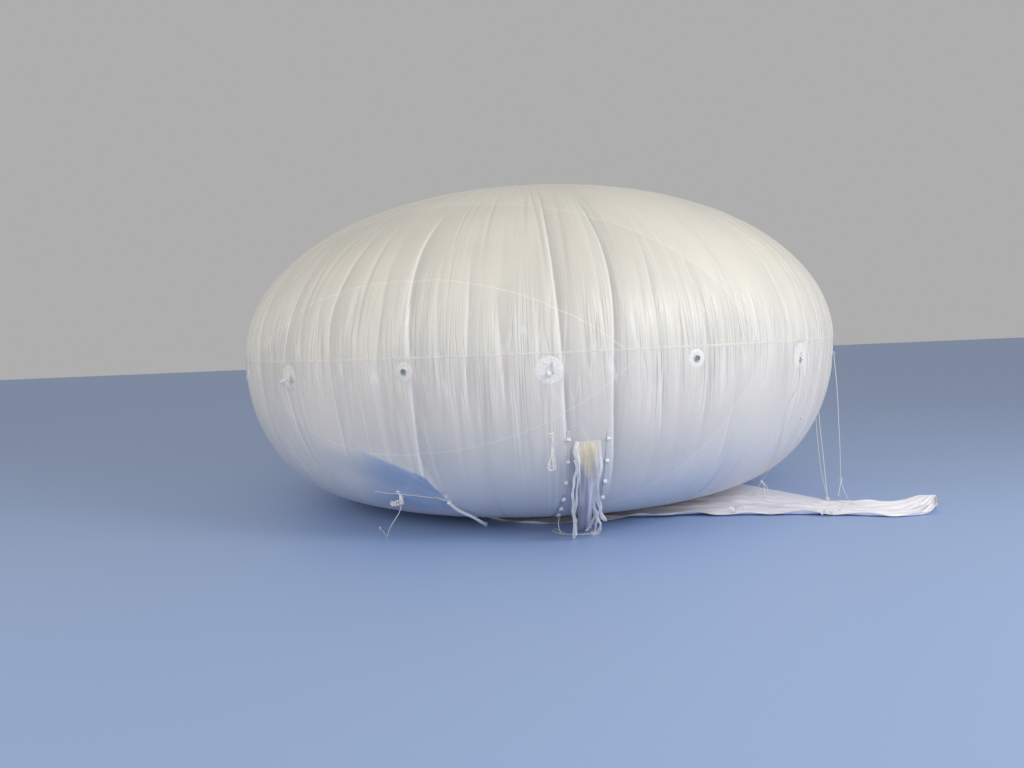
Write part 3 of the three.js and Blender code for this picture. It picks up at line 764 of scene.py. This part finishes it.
# %% [markdown]
# The two halves are welded rim to rim under a tape. The tape here is a strip of points that is
# read off the finished skins, so it follows every pleat, and stands a millimetre proud of them.

# %% Tapes and patches finish
def tape_material(name, tint, crinkle, roughness=0.45):
    """Thin coated cloth welded flat: crumpled a little by its weld."""
    material, where, shader = start_material(name)
    fine = where.noise(55.0, 5.0, 0.6)
    broad = where.node("TexVoronoi", {"Vector": where, "Scale": 34.0})
    base = (fine.range(0.4, 0.7) * 0.7).mix(tint, shaded(tint, 0.82))
    finish(shader, base, fine * 0.5 + broad * 0.5, crinkle,
           fine.range(0.2, 0.8, roughness - 0.08, roughness + 0.08))
    return material


seam_tape = tape_material("seam_tape", (0.86, 0.81, 0.725), 0.0008)
patch_cloth = tape_material("patch_cloth", (0.98, 0.93, 0.87), 0.006, 0.36)
# a darker copy of the patch cloth, with less crinkle, for the fittings on the left: painted shade
shaded_patch = tape_material("shaded_patch", (0.92, 0.865, 0.79), 0.003)

# %% The rim seam
level = np.array([-0.008, -0.006, -0.003, 0.0, 0.003, 0.006, 0.008])[:, None]
lift = np.array([0.0003, 0.0008, 0.0010, 0.0012, 0.0010, 0.0008, 0.0003])[:, None]
above = on_skin("upper", around, reach["upper"] - np.maximum(level, 0), lift)
below = on_skin("lower", around, reach["lower"] + np.minimum(level, 0), lift)
rim = make_piece("rim_seam", np.where((level >= 0)[..., None], above, below), seam_tape,
                 around=True)
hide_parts("equator_seam_band")

# %% [markdown]
# Each tether point is a round patch of cloth welded to the skin, with a webbing tab sewn on. A
# patch is a disc of points laid on the skin: rings round the fitting, read off the skin at their
# places.

# %% Patches on the skin
patch_thickness, glue_gap = 0.0025, 0.0003


def laid_disc(name, azimuth, drop, size, rings=9, spokes=48):
    """A disc on the skin: places drop + y down and x across, lifted, with its edge pressed
    down."""
    share = np.linspace(0.0, 1.0, rings)[:, None]
    angle = circle(spokes)[None, :]
    x, y = size * share * np.cos(angle), size * share * np.sin(angle)
    along = reach["lower"] - drop
    points = on_skin("lower", np.radians(azimuth) + x / np.interp(along, *tables["lower"][:2]),
                     along - y, patch_thickness * (1 - smooth(0.9, 1.0, share)) + glue_gap)
    # the fittings on the left get the darker copy of the patch cloth, which is painted shade
    return weld(make_piece(name, points, shaded_patch if azimuth < 0 else patch_cloth,
                           around=True, flip=True,
                           uv={"lay": stacked(share, angle / (2 * np.pi))}))


def side_name(azimuth):
    """The name of a fitting's place, as the solids have it."""
    side = "" if azimuth in (0, 180) else "right_" if azimuth > 0 else "left_"
    return side + f"{abs(azimuth):g}".replace(".", "_")


for azimuth in tethers:
    disc = laid_disc("patch_" + side_name(azimuth), azimuth, fitting_drop, 0.11)
    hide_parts("tether_patch_" + side_name(azimuth))

# %% [markdown]
# A gas fitting is a moulded flange welded to a small patch, closed by a round cap. Both are
# profiles turned round the fitting's own axis: radius times the turning direction plus height
# times the normal.

# %% Gas fittings
def cap_material(name, tint, middle):
    """Moulded plastic: a rim, a darker hollow and a paler boss in it, satin, with a fine grain."""
    material, where, shader = start_material(name)
    inwards = where.layer("lay")[0]
    mottle = where.noise(60.0, 3.0)
    base = inwards.range(0.90, 0.92).mix(inwards.range(0.70, 0.74).mix(tint, middle), tint)
    base = (mottle.range(0.3, 0.7) * 0.25).mix(base, (0.0, 0.0, 0.0))
    finish(shader, base, where.noise(900.0), 0.0004, mottle.range(0.2, 0.8, 0.28, 0.42),
           strength=0.3)
    return material


cap_grey = cap_material("cap_grey", (0.44, 0.48, 0.48), (0.13, 0.16, 0.17))
cap_rim = cap_material("cap_rim", (0.88, 0.86, 0.82), (0.88, 0.86, 0.82))


def fitting_frame(azimuth, drop):
    """The level direction, the downward direction and the outward normal at a fitting."""
    turn = np.radians(azimuth)
    normal = smooth_skin("lower", turn, reach["lower"] - drop)[1]
    level = np.array([np.cos(turn), np.sin(turn), 0.0])
    return level, -np.cross(normal, level), normal


def turned(name, azimuth, drop, profile, material):
    """A profile of (radius, height) pairs turned round the fitting's normal."""
    level, down, normal = fitting_frame(azimuth, drop)
    middle = on_skin("lower", np.radians(azimuth), reach["lower"] - drop)
    profile = np.array(profile)[:, :, None]
    angle = circle(48)[:, None]
    ring = np.cos(angle) * level + np.sin(angle) * down
    points = middle + profile[:, :1] * ring[None] + profile[:, 1:] * normal
    uv = stacked(np.linspace(0, 1, len(profile))[:, None], angle[None, :, 0] / (2 * np.pi))
    return weld(make_piece(name, points, material, around=True, uv={"lay": uv}))


flange_profile = [(0.0, -0.004), (0.036, -0.004), (0.036, 0.003), (0.0345, 0.0055),
                  (0.031, 0.007), (0.027, 0.008), (0.0, 0.008)]
cap_profile = [(0.0, 0.006), (0.025, 0.006), (0.025, 0.0135), (0.024, 0.0152), (0.022, 0.016),
               (0.017, 0.0155), (0.0155, 0.013), (0.010, 0.0125), (0.0, 0.0125)]
for azimuth, drop in valve_places.items():
    side = side_name(azimuth)
    for piece in (laid_disc("gas_patch_" + side, azimuth, drop, 0.075, rings=7, spokes=40),
                  turned("gas_flange_" + side, azimuth, drop, flange_profile, cap_rim),
                  turned("gas_cap_" + side, azimuth, drop, cap_profile, cap_grey)):
        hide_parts("valve_" + side)

# %% [markdown]
# Webbing is a flat woven strap. Its weave is two crossed waves a few millimetres apart, and it is
# the whitest thing on the balloon. The sewn tabs are solids of the right shape already, so they
# only get this finish; the lacing tapes, ribbons and the sail's strap are made anew as thin
# flexible bands.

# %% Webbing
def webbing_material(name, tint):
    """White woven strap: crossed waves for the weave, slightly greyer in the hollows."""
    material, where, shader = start_material(name)
    x, y, z = where.split()
    ribs = (z * 2200.0).math("SINE") * 0.5 + ((x + y) * 1500.0).math("SINE") * 0.5
    shade = where.noise(14.0, 4.0).range(0.4, 0.75) * 0.5 + ribs * 0.15 + 0.1
    finish(shader, shade.mix(tint, shaded(tint, 0.82)), ribs, 0.0006, 0.8, strength=0.6)
    return material


webbing = webbing_material("webbing", (0.98, 0.965, 0.955))
for name in ["tether_tab_" + side_name(a) for a in tethers] + ["sail_strap_tab",
                                                               "underside_tie_tab"]:
    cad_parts[name].data.materials.clear()
    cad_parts[name].data.materials.append(webbing)


def make_strap(name, points):
    """A thin piece of webbing from a grid of points."""
    return thicken(make_piece(name, points, webbing))


def make_band(name, path, width, across, twist, curl=0.0, pleat=0.0, cells=6):
    """A flat band along a path: centre + s * width / 2 * side, where the side is turned by twist
    degrees about the tangent. Its section is bent by curl * (1 - s^2), and it is folded lengthwise
    by pleat * cos(9 s + 5 run). It lies on the ground where it would go below."""
    tangent = unit(np.gradient(path, axis=0))
    width = np.broadcast_to(width, len(path))[:, None, None]
    across = np.asarray(across, float)
    side = unit(across - tangent * (across * tangent).sum(-1, keepdims=True))
    other = np.cross(tangent, side)
    angle = np.radians(twist)[:, None]
    side, other = (np.cos(angle) * side + np.sin(angle) * other,
                   np.cos(angle) * other - np.sin(angle) * side)
    s = np.linspace(-1, 1, cells + 1)[None, :, None]
    lift = curl * (1 - s ** 2) + pleat * np.cos(9 * s + 5 * distances(path)[:, None, None])
    points = path[:, None] + s * (width / 2) * side[:, None] + lift * other[:, None]
    points[..., 2] = np.maximum(points[..., 2], ground + 0.002)
    return make_strap(name, points)


# %% Lacing tapes
def belly(x, z, lift):
    """The finished lower skin seen straight from the front at x and z."""
    along_table, r_table, z_table, _ = tables["lower"]
    along = np.interp(z, z_table, along_table)
    r = np.interp(along, along_table, r_table)
    return on_skin("lower", np.arcsin(np.clip(x / r, -1, 1)), along, lift)


# each tape's x at its top and bottom, and how it bends between
lacing_ends = {"left": (0.137, 0.070, 2), "right": (0.456, 0.418, 1)}
lacing_top, lacing_bottom = -0.655, -1.440
tab_shares = [0.05, 0.29, 0.53, 0.74, 0.88, 1.0]


def lacing_place(ends, share):
    """The x and z of a tape at a share of its way down."""
    top_x, bottom_x, bend = ends
    return (top_x + share ** bend * (bottom_x - top_x),
            lacing_top + share * (lacing_bottom - lacing_top))


for side, ends in lacing_ends.items():
    x, z = lacing_place(ends, np.linspace(-0.04, 1.02, 90)[:, None])
    x = x + np.linspace(-0.015, 0.015, 7)
    tape = thicken(make_piece("lacing_band_" + side, belly(x, z, 0.0018), lower_cloth,
                              uv={"lay": np.full(x.shape + (2,), 0.5)}))
    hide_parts("lacing_tape_" + side)
    v, u = np.linspace(0, 1, 13)[:, None], np.linspace(-0.019, 0.019, 7)[None, :]
    for number, share in enumerate(tab_shares):
        tall = 0.026 + 0.010 * share
        lean = 0.25 * share * u if side == "left" else 0 * u
        x, z = lacing_place(ends, share)
        lift = 0.004 + 0.016 * np.sin(np.pi * v) ** 0.6 \
            + 0.002 * np.sin(3 * np.pi * (u / 0.038)) * v
        points = belly(x + u * (0.8 + 0.25 * v), z + 0.5 * tall - tall * v + lean, lift)
        make_strap(f"lacing_tab_{side}_{number + 1}", points)

# loose ends of webbing beside the eyes: azimuth, places to the right at the top and the bottom,
# and the distances below the rim where they start and end
loose_ends = [(0, 0.042, 0.030, 0.062, 0.162), (45, 0.016, 0.010, 0.10, 0.20)]
for azimuth, first, last, top, bottom in loose_ends:
    v, u = np.linspace(0, 1, 16)[:, None], np.linspace(-0.014, 0.014, 7)[None, :]
    lift = 0.006 + 0.020 * np.sin(np.pi * v) ** 0.7 + 0.004 * np.cos(200 * u) * v
    across = first + (last - first) * v + u * (1.0 - 0.2 * v)
    points = on_skin("lower", np.radians(azimuth) + across / radius,
                     reach["lower"] - top - (bottom - top) * v, lift)
    make_strap("tether_loose_end_" + side_name(azimuth), points)

# %% [markdown]
# The balloon is filled through a sleeve of thin cloth that is welded to the belly and hangs to the
# ground. It is a tube whose round section has folds along it: its radius is 1 + a sin(5 angle) +
# b sin(8 angle) + c sin(13 angle). The folds grow deeper down the tube, where it is drawn
# together.

# %% Filling sleeve
def sleeve_material(name):
    """Thin coated cloth: warm at the top of its front, cooler and shaded below.

    The lay coordinate u goes once round, with the front at 0.25, and v is the length in metres.
    """
    material, where, shader = start_material(name)
    u, run = where.layer("lay")
    fine = where.noise(24.0, 5.0, 0.6)
    streak = where.node("CombineXYZ", {0: u * 14.0, 1: run * 1.5}).noise(2.0, 3.0)
    down = run + fine * 0.10
    window = ((u - 0.25).math("ABSOLUTE") + down * 0.42).fall(0.15, 0.22) \
        * down.range(0.03, 0.10) * down.fall(0.24, 0.42)
    slanted = u * 4.0 + run * 0.55
    band = slanted.range(0.78, 0.98) * slanted.fall(1.05, 1.25)
    # painted shade and painted blue floor reflection low on the front and left
    base = (down.range(0.14, 0.32) * u.range(0.13, 0.22)).mix((0.76, 0.74, 0.75),
                                                              (0.42, 0.40, 0.49))
    # a painted light band low on the front right
    base = (band * down.range(0.3, 0.5) * 0.8).mix(base, (0.74, 0.72, 0.90))
    base = (streak.range(0.5, 0.66) * 0.4).mix(base, (0.80, 0.80, 0.88))
    base = (window * 0.95).mix(base, (0.74, 0.655, 0.50))
    # painted shade at the top, where the sleeve meets the belly
    base = down.range(0.02, 0.14).mix((0.60, 0.59, 0.60), base)
    finish(shader, base, fine * 0.6 + streak, 0.010, fine.range(0.2, 0.8, 0.3, 0.5))
    return material


spokes = 120
sleeve_path = smooth_path(mm([[288, -3050, -700], [286, -3066, -800], [277, -3010, -1000],
                              [272, -2850, -1220], [280, -2590, -1430], [294, -2350, -1545]]))
rightward = np.array([1.0, 0, 0])
outward = unit(np.cross(unit(np.gradient(sleeve_path, axis=0)), rightward))
angle = circle(spokes)[None, :, None]
share = np.linspace(0, 1, len(sleeve_path))[:, None, None]
half_width = mm(np.interp(share, [0, 0.15, 0.35, 0.55, 0.8, 0.93, 1],
                          [94, 92, 76, 58, 50, 58, 74]))
half_depth = mm(np.interp(share, [0, 0.1, 0.25, 1], [10, 30, 48, 48]))
gathered = np.interp(share, [0, 0.2, 0.5, 0.8, 1], [0.15, 0.3, 0.8, 1.0, 1.0])
folds = gathered * (0.13 * np.sin(5 * angle + 2.2 * share + 0.6)
                    + 0.09 * np.sin(8 * angle - 3.1 * share)
                    + 0.05 * np.sin(13 * angle + 5 * share))
sleeve_points = sleeve_path[:, None] + (half_width * np.cos(angle) * rightward + half_depth
                                        * np.sin(angle) * outward[:, None]) * (1 + folds)
sleeve_points[..., 2] = np.maximum(sleeve_points[..., 2], ground + 0.003)
flat_length = path_length(sleeve_path)
uv = stacked(np.arange(spokes) / spokes, np.linspace(0, flat_length, len(sleeve_path))[:, None])
sleeve = thicken(make_piece("filling_sleeve_cloth", sleeve_points, sleeve_material("sleeve_cloth"),
                            around=True, uv={"lay": uv}), 0.0016)
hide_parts("filling_sleeve")

# %% [markdown]
# Ribbons tied the sleeve shut; now they hang open at its sides. Each is a flat band that twists
# and folds as it falls, and its width swells where two of them lie together.

# %% Sleeve ribbons and sail strap
# each ribbon's width in mm and its route
ribbon_routes = {
    "left": (40, [[200, -3140, -700], [178, -3150, -779], [204, -3130, -869], [204, -3070, -974],
                  [199, -2980, -1094], [187, -2860, -1257], [179, -2730, -1410],
                  [190, -2665, -1515], [184, -2585, -1604]]),
    "left_strand": (34, [[176, -3136, -840], [194, -3106, -929], [166, -3066, -1014],
                         [160, -2966, -1145], [170, -2846, -1302], [188, -2730, -1440],
                         [196, -2640, -1560]]),
    "right": (42, [[366, -3140, -700], [380, -3144, -812], [377, -3114, -895],
                   [367, -3064, -991], [357, -2974, -1111], [376, -2884, -1211],
                   [396, -2770, -1312], [424, -2640, -1410], [448, -2580, -1460]]),
    "right_hem": (36, [[352, -2966, -1105], [338, -2856, -1224], [362, -2746, -1348],
                       [404, -2610, -1483], [400, -2510, -1570], [340, -2475, -1604]]),
    "right_strand": (26, [[346, -2960, -1110], [326, -2846, -1225], [350, -2706, -1365],
                          [336, -2566, -1490], [296, -2500, -1560]]),
    "right_end": (24, [[370, -2920, -1160], [386, -2800, -1290], [380, -2700, -1390],
                       [372, -2600, -1500], [350, -2520, -1590]]),
}
for number, (name, (width, points)) in enumerate(ribbon_routes.items()):
    path = smooth_path(mm(points), 0.012)
    path[:, 2] = np.maximum(path[:, 2], ground + 0.005)
    t = np.linspace(0, 1, len(path))
    twist = 55 * np.sin(2 * np.pi * (1.6 * t + 0.23 * number)) * smooth(0.02, 0.2, t)
    path[:, 0] += 0.004 * np.sin(2 * np.pi * 4 * t + number)
    width = width / 1000 * (0.82 + 0.18 * np.sin(17 * t + 2 * number))
    band = make_band("ribbon_" + name, path, width, (1.0, 0.15, 0), twist, 0.006, 0.005, cells=14)
    if name in ("left", "right"):
        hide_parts("sleeve_ribbon_" + name)
strap_path = smooth_path(mm([[-860, -2555, -1271], [-795, -2480, -1345], [-680, -2400, -1425],
                             [-600, -2290, -1505], [-575, -2080, -1573], [-590, -1860, -1594]]),
                         0.012)
strap = make_band("sail_strap_band", strap_path, 0.030, (0.5, -0.1, 0.8),
                  20 * np.sin(np.linspace(0, 5, len(strap_path))), 0.002)
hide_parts("sail_strap")

# %% [markdown]
# A bow of tape is knotted into the eye at 45 degrees on the left, and the tie on the underside is
# knotted into a clump, from which a line runs tight along the skin to the strap's tab.

# %% Bow, clump and line
bow_frame = np.stack(fitting_frame(-45, fitting_drop))
bow_place = np.array([-2.250, -2.274, -0.162]) + 0.016 * bow_frame[2]
# each loop's width, and its points along the skin, down the skin and out from it, in mm
bow_loops = {
    "left": (26, [(0, 0, 6), (-22, -6, 20), (-40, 4, 34), (-58, 14, 46)]),
    "ear": (26, [(0, 0, 6), (2, -26, 18), (14, -46, 20), (30, -34, 18), (14, -4, 8)]),
    "right": (24, [(2, -2, 6), (24, -14, 20), (46, -16, 22), (50, 2, 14), (18, 8, 6)]),
    "tail": (20, [(4, 6, 6), (16, 26, 12), (14, 46, 12), (24, 66, 8)]),
}
for number, (name, (width, points)) in enumerate(bow_loops.items()):
    path = smooth_path(bow_place + mm(points) @ bow_frame, 0.006)
    make_band("bow_" + name, path, width / 1000, bow_frame[0] + bow_frame[1],
              40 * np.sin(np.linspace(number, number + 5, len(path))), 0.004)
make_knot("bow_knot", bow_place + 0.008 * bow_frame[2], 0.016, (1, 0.4, 0.2), 0.006, webbing,
          "webbing")
clump = [((-1.296, -2.424, -1.262), 0.020, (1, 0.2, 0.3)),
         ((-1.335, -2.418, -1.270), 0.026, (0.3, 1, 0.2)),
         ((-1.375, -2.404, -1.276), 0.022, (0.8, 0.1, 0.6))]
for number, knot in enumerate(clump):
    make_knot(f"underside_clump_{number + 1}", *knot, 0.006)
line_azimuth = np.radians(np.linspace(-34.0, -18.8, 60))
line_drop = np.interp(np.degrees(line_azimuth), [-34, -28.2, -18.8], [1.29, 1.29, 1.335])
make_rope("underside_line", on_skin("lower", line_azimuth, reach["lower"] - line_drop, 0.004))

# %% [markdown]
# The sail is a three-cornered cloth that lies spread under the balloon. Its sheet is blended from
# a front edge to a back edge. Creases are long ridges at random places and directions; under the
# balloon they are pressed as flat as the gap to the belly allows.

# %% Sail cloth
def sail_material(name):
    """White satin cloth, brown in long streaky patches."""
    material, where, shader = start_material(name)
    fine = where.noise(16.0, 6.0, 0.62)
    stretch = where.node("VectorMath", {0: where, 1: (0.8, 3.0, 2.0)}, {"operation": "MULTIPLY"})
    brown_patches = stretch.noise(1.6, 5.0).range(0.58, 0.76) * 0.7
    hem = where.layer("lay")[1].fall(0.0, 0.05)
    base = hem.mix(brown_patches.mix((0.94, 0.92, 0.98), (0.60, 0.56, 0.52)), (0.96, 0.95, 0.98))
    finish(shader, base, fine, 0.007, fine.range(0.2, 0.8, 0.35, 0.55))
    return material


def evenly(path, count):
    """The path read at count places, evenly spaced along its length."""
    run = distances(path)
    at = np.linspace(0, 1, count) * run[-1]
    return np.stack([np.interp(at, run, column) for column in path.T], -1)


sail_rows, sail_columns = 110, 260
front_edge = mm([[-640, -1620], [-380, -1840], [-90, -2020], [470, -2000], [1400, -1960],
                 [2550, -2130], [3150, -2290], [3470, -2190], [3690, -1790]])
back_edge = mm([[-640, -1620], [-520, -1150], [-150, 300], [600, 640], [1450, 900],
                [2210, -440], [2620, -1160], [2780, -1500], [3380, -1720], [3690, -1790]])
front, back = (evenly(smooth_path(edge), sail_columns) for edge in (front_edge, back_edge))
v = np.linspace(0, 1, sail_rows)[:, None] ** 1.25
sheet_xy = (1 - v)[..., None] * front[None] + v[..., None] * back[None]
sheet_x, sheet_y = sheet_xy[..., 0], sheet_xy[..., 1]
rng = np.random.default_rng(11)
crease_count, crease_height = 120, 0.36
height = np.full(sheet_x.shape, 0.004)
for _ in range(crease_count):
    middle = np.array([rng.uniform(-0.6, 3.7), rng.uniform(-2.3, 0.6)])
    angle = rng.normal(0.0, 0.2)
    length, width = rng.uniform(0.3, 1.1), rng.uniform(0.016, 0.06)
    offset = sheet_xy - middle
    along_fold = offset @ np.array([np.cos(angle), np.sin(angle)])
    across_fold = offset @ np.array([-np.sin(angle), np.cos(angle)])
    across_fold = across_fold - 0.25 * along_fold ** 2 * rng.normal()
    height += rng.uniform(0.2, 1.0) * width * crease_height * np.exp(
        -(across_fold / width) ** 2 - (along_fold / length) ** 2)
# long folds that run with the front edge
run_folds = sum(size * np.sin(2 * np.pi * (v * across + 0.4 * np.sin(phase + 3 * sheet_x)))
                for size, across, phase in [(0.010, 9, 0.3), (0.007, 15, 1.9), (0.004, 26, 4.0)])
height += np.maximum(run_folds, 0) * smooth(0.8, 1.6, sheet_x)
# the stays draw the back edge flat
height *= 1 - 0.85 * smooth(0.30, 0.75, v) * (1 - smooth(2.6, 3.1, sheet_x))
hem = np.exp(-(v / 0.012) ** 2) * (0.020 + 0.012 * np.sin(np.linspace(0, 60, sail_columns)))
tip = smooth(3.25, 3.6, sheet_x)
height += hem + tip * 0.035 * (1 + np.sin(14 * sheet_y + 9 * sheet_x))
_, lower_height, fullness = halves["lower"]
share = np.linalg.norm(sheet_xy, axis=-1) / radius
belly_gap = -lower_height * np.sqrt(np.maximum(0, 1 - np.minimum(share, 1) ** fullness)) \
    - ground - 0.006
height = np.clip(np.minimum(height, np.where(share < 1, belly_gap, 1.0)), 0.0012, 0.08)
sheet_points = stacked(sheet_x, sheet_y, ground + height)
sail = thicken(make_piece("wind_sail_cloth", sheet_points, sail_material("sail_cloth"),
                          uv={"lay": stacked(np.linspace(0, 1, sail_columns), v)}),
               0.0016, offset=1.0)
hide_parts("wind_sail")

# small ties of tape stand up from the sail's front hem
for number, (x, y) in enumerate([(1.75, -1.90), (2.47, -2.15), (2.56, -2.17)]):
    for blade in range(4):
        way = np.array([np.cos(1.4 * blade + number), -0.4 + 0.2 * blade, 0])
        t = np.linspace(0, 1, 12)[:, None]
        path = np.array([x, y, ground + 0.02]) + t * 0.075 * way \
            + np.array([0, 0, 1]) * 0.045 * np.sin(2.4 * t)
        make_band(f"sail_tie_{number + 1}_{blade + 1}", path, 0.012, (0.2, 0.1, 1),
                  np.linspace(0, 30.0, len(path)))

# %% [markdown]
# Light comes from large soft panels: the strongest at the right front, which lifts the left wall
# of every crease, weaker ones straight ahead and at the left, and pale surroundings. The floor is
# plain and pale, and its blue falls on the underside.

# %% Floor and light
def area_light(name, power, size, place, tint=(1, 1, 1)):
    """A square soft light at place that faces the balloon's middle."""
    light = bpy.data.lights.new(name, "AREA")
    light.energy, light.size, light.color = power, size, tint
    back = unit(np.array(place, float))
    side = unit(np.cross([0.01, 0.02, 1.0], back))
    stand(name, light, side, np.cross(back, side), back, place)


floor_material, _, shader = start_material("floor")
plug(shader, "Base Color", (0.36, 0.49, 0.77, 1.0))
plug(shader, "Roughness", 0.5)
floor_mesh = bpy.data.meshes.new("floor")
floor_mesh.from_pydata([(-60, -60, ground), (60, -60, ground), (60, 60, ground),
                        (-60, 60, ground)], [], [(0, 1, 2, 3)])
floor_mesh.materials.append(floor_material)
floor = bpy.data.objects.new("floor", floor_mesh)
bpy.context.scene.collection.objects.link(floor)

area_light("key", 420, 4.0, (8, -9, 6), (1.0, 0.985, 0.95))
area_light("side", 190, 5.0, (9, -8, 2.5))
area_light("front", 260, 6.0, (1, -15, 3))
area_light("fill", 200, 5.0, (-9, -7, 3), (1.0, 0.95, 0.84))
world = bpy.data.worlds.new("surroundings")
world.use_nodes = True
plug(world.node_tree.nodes["Background"], 0, (0.985, 0.985, 0.99, 1))
plug(world.node_tree.nodes["Background"], 1, 0.43)
bpy.context.scene.world = world
bpy.context.scene.view_settings.view_transform = "Standard"
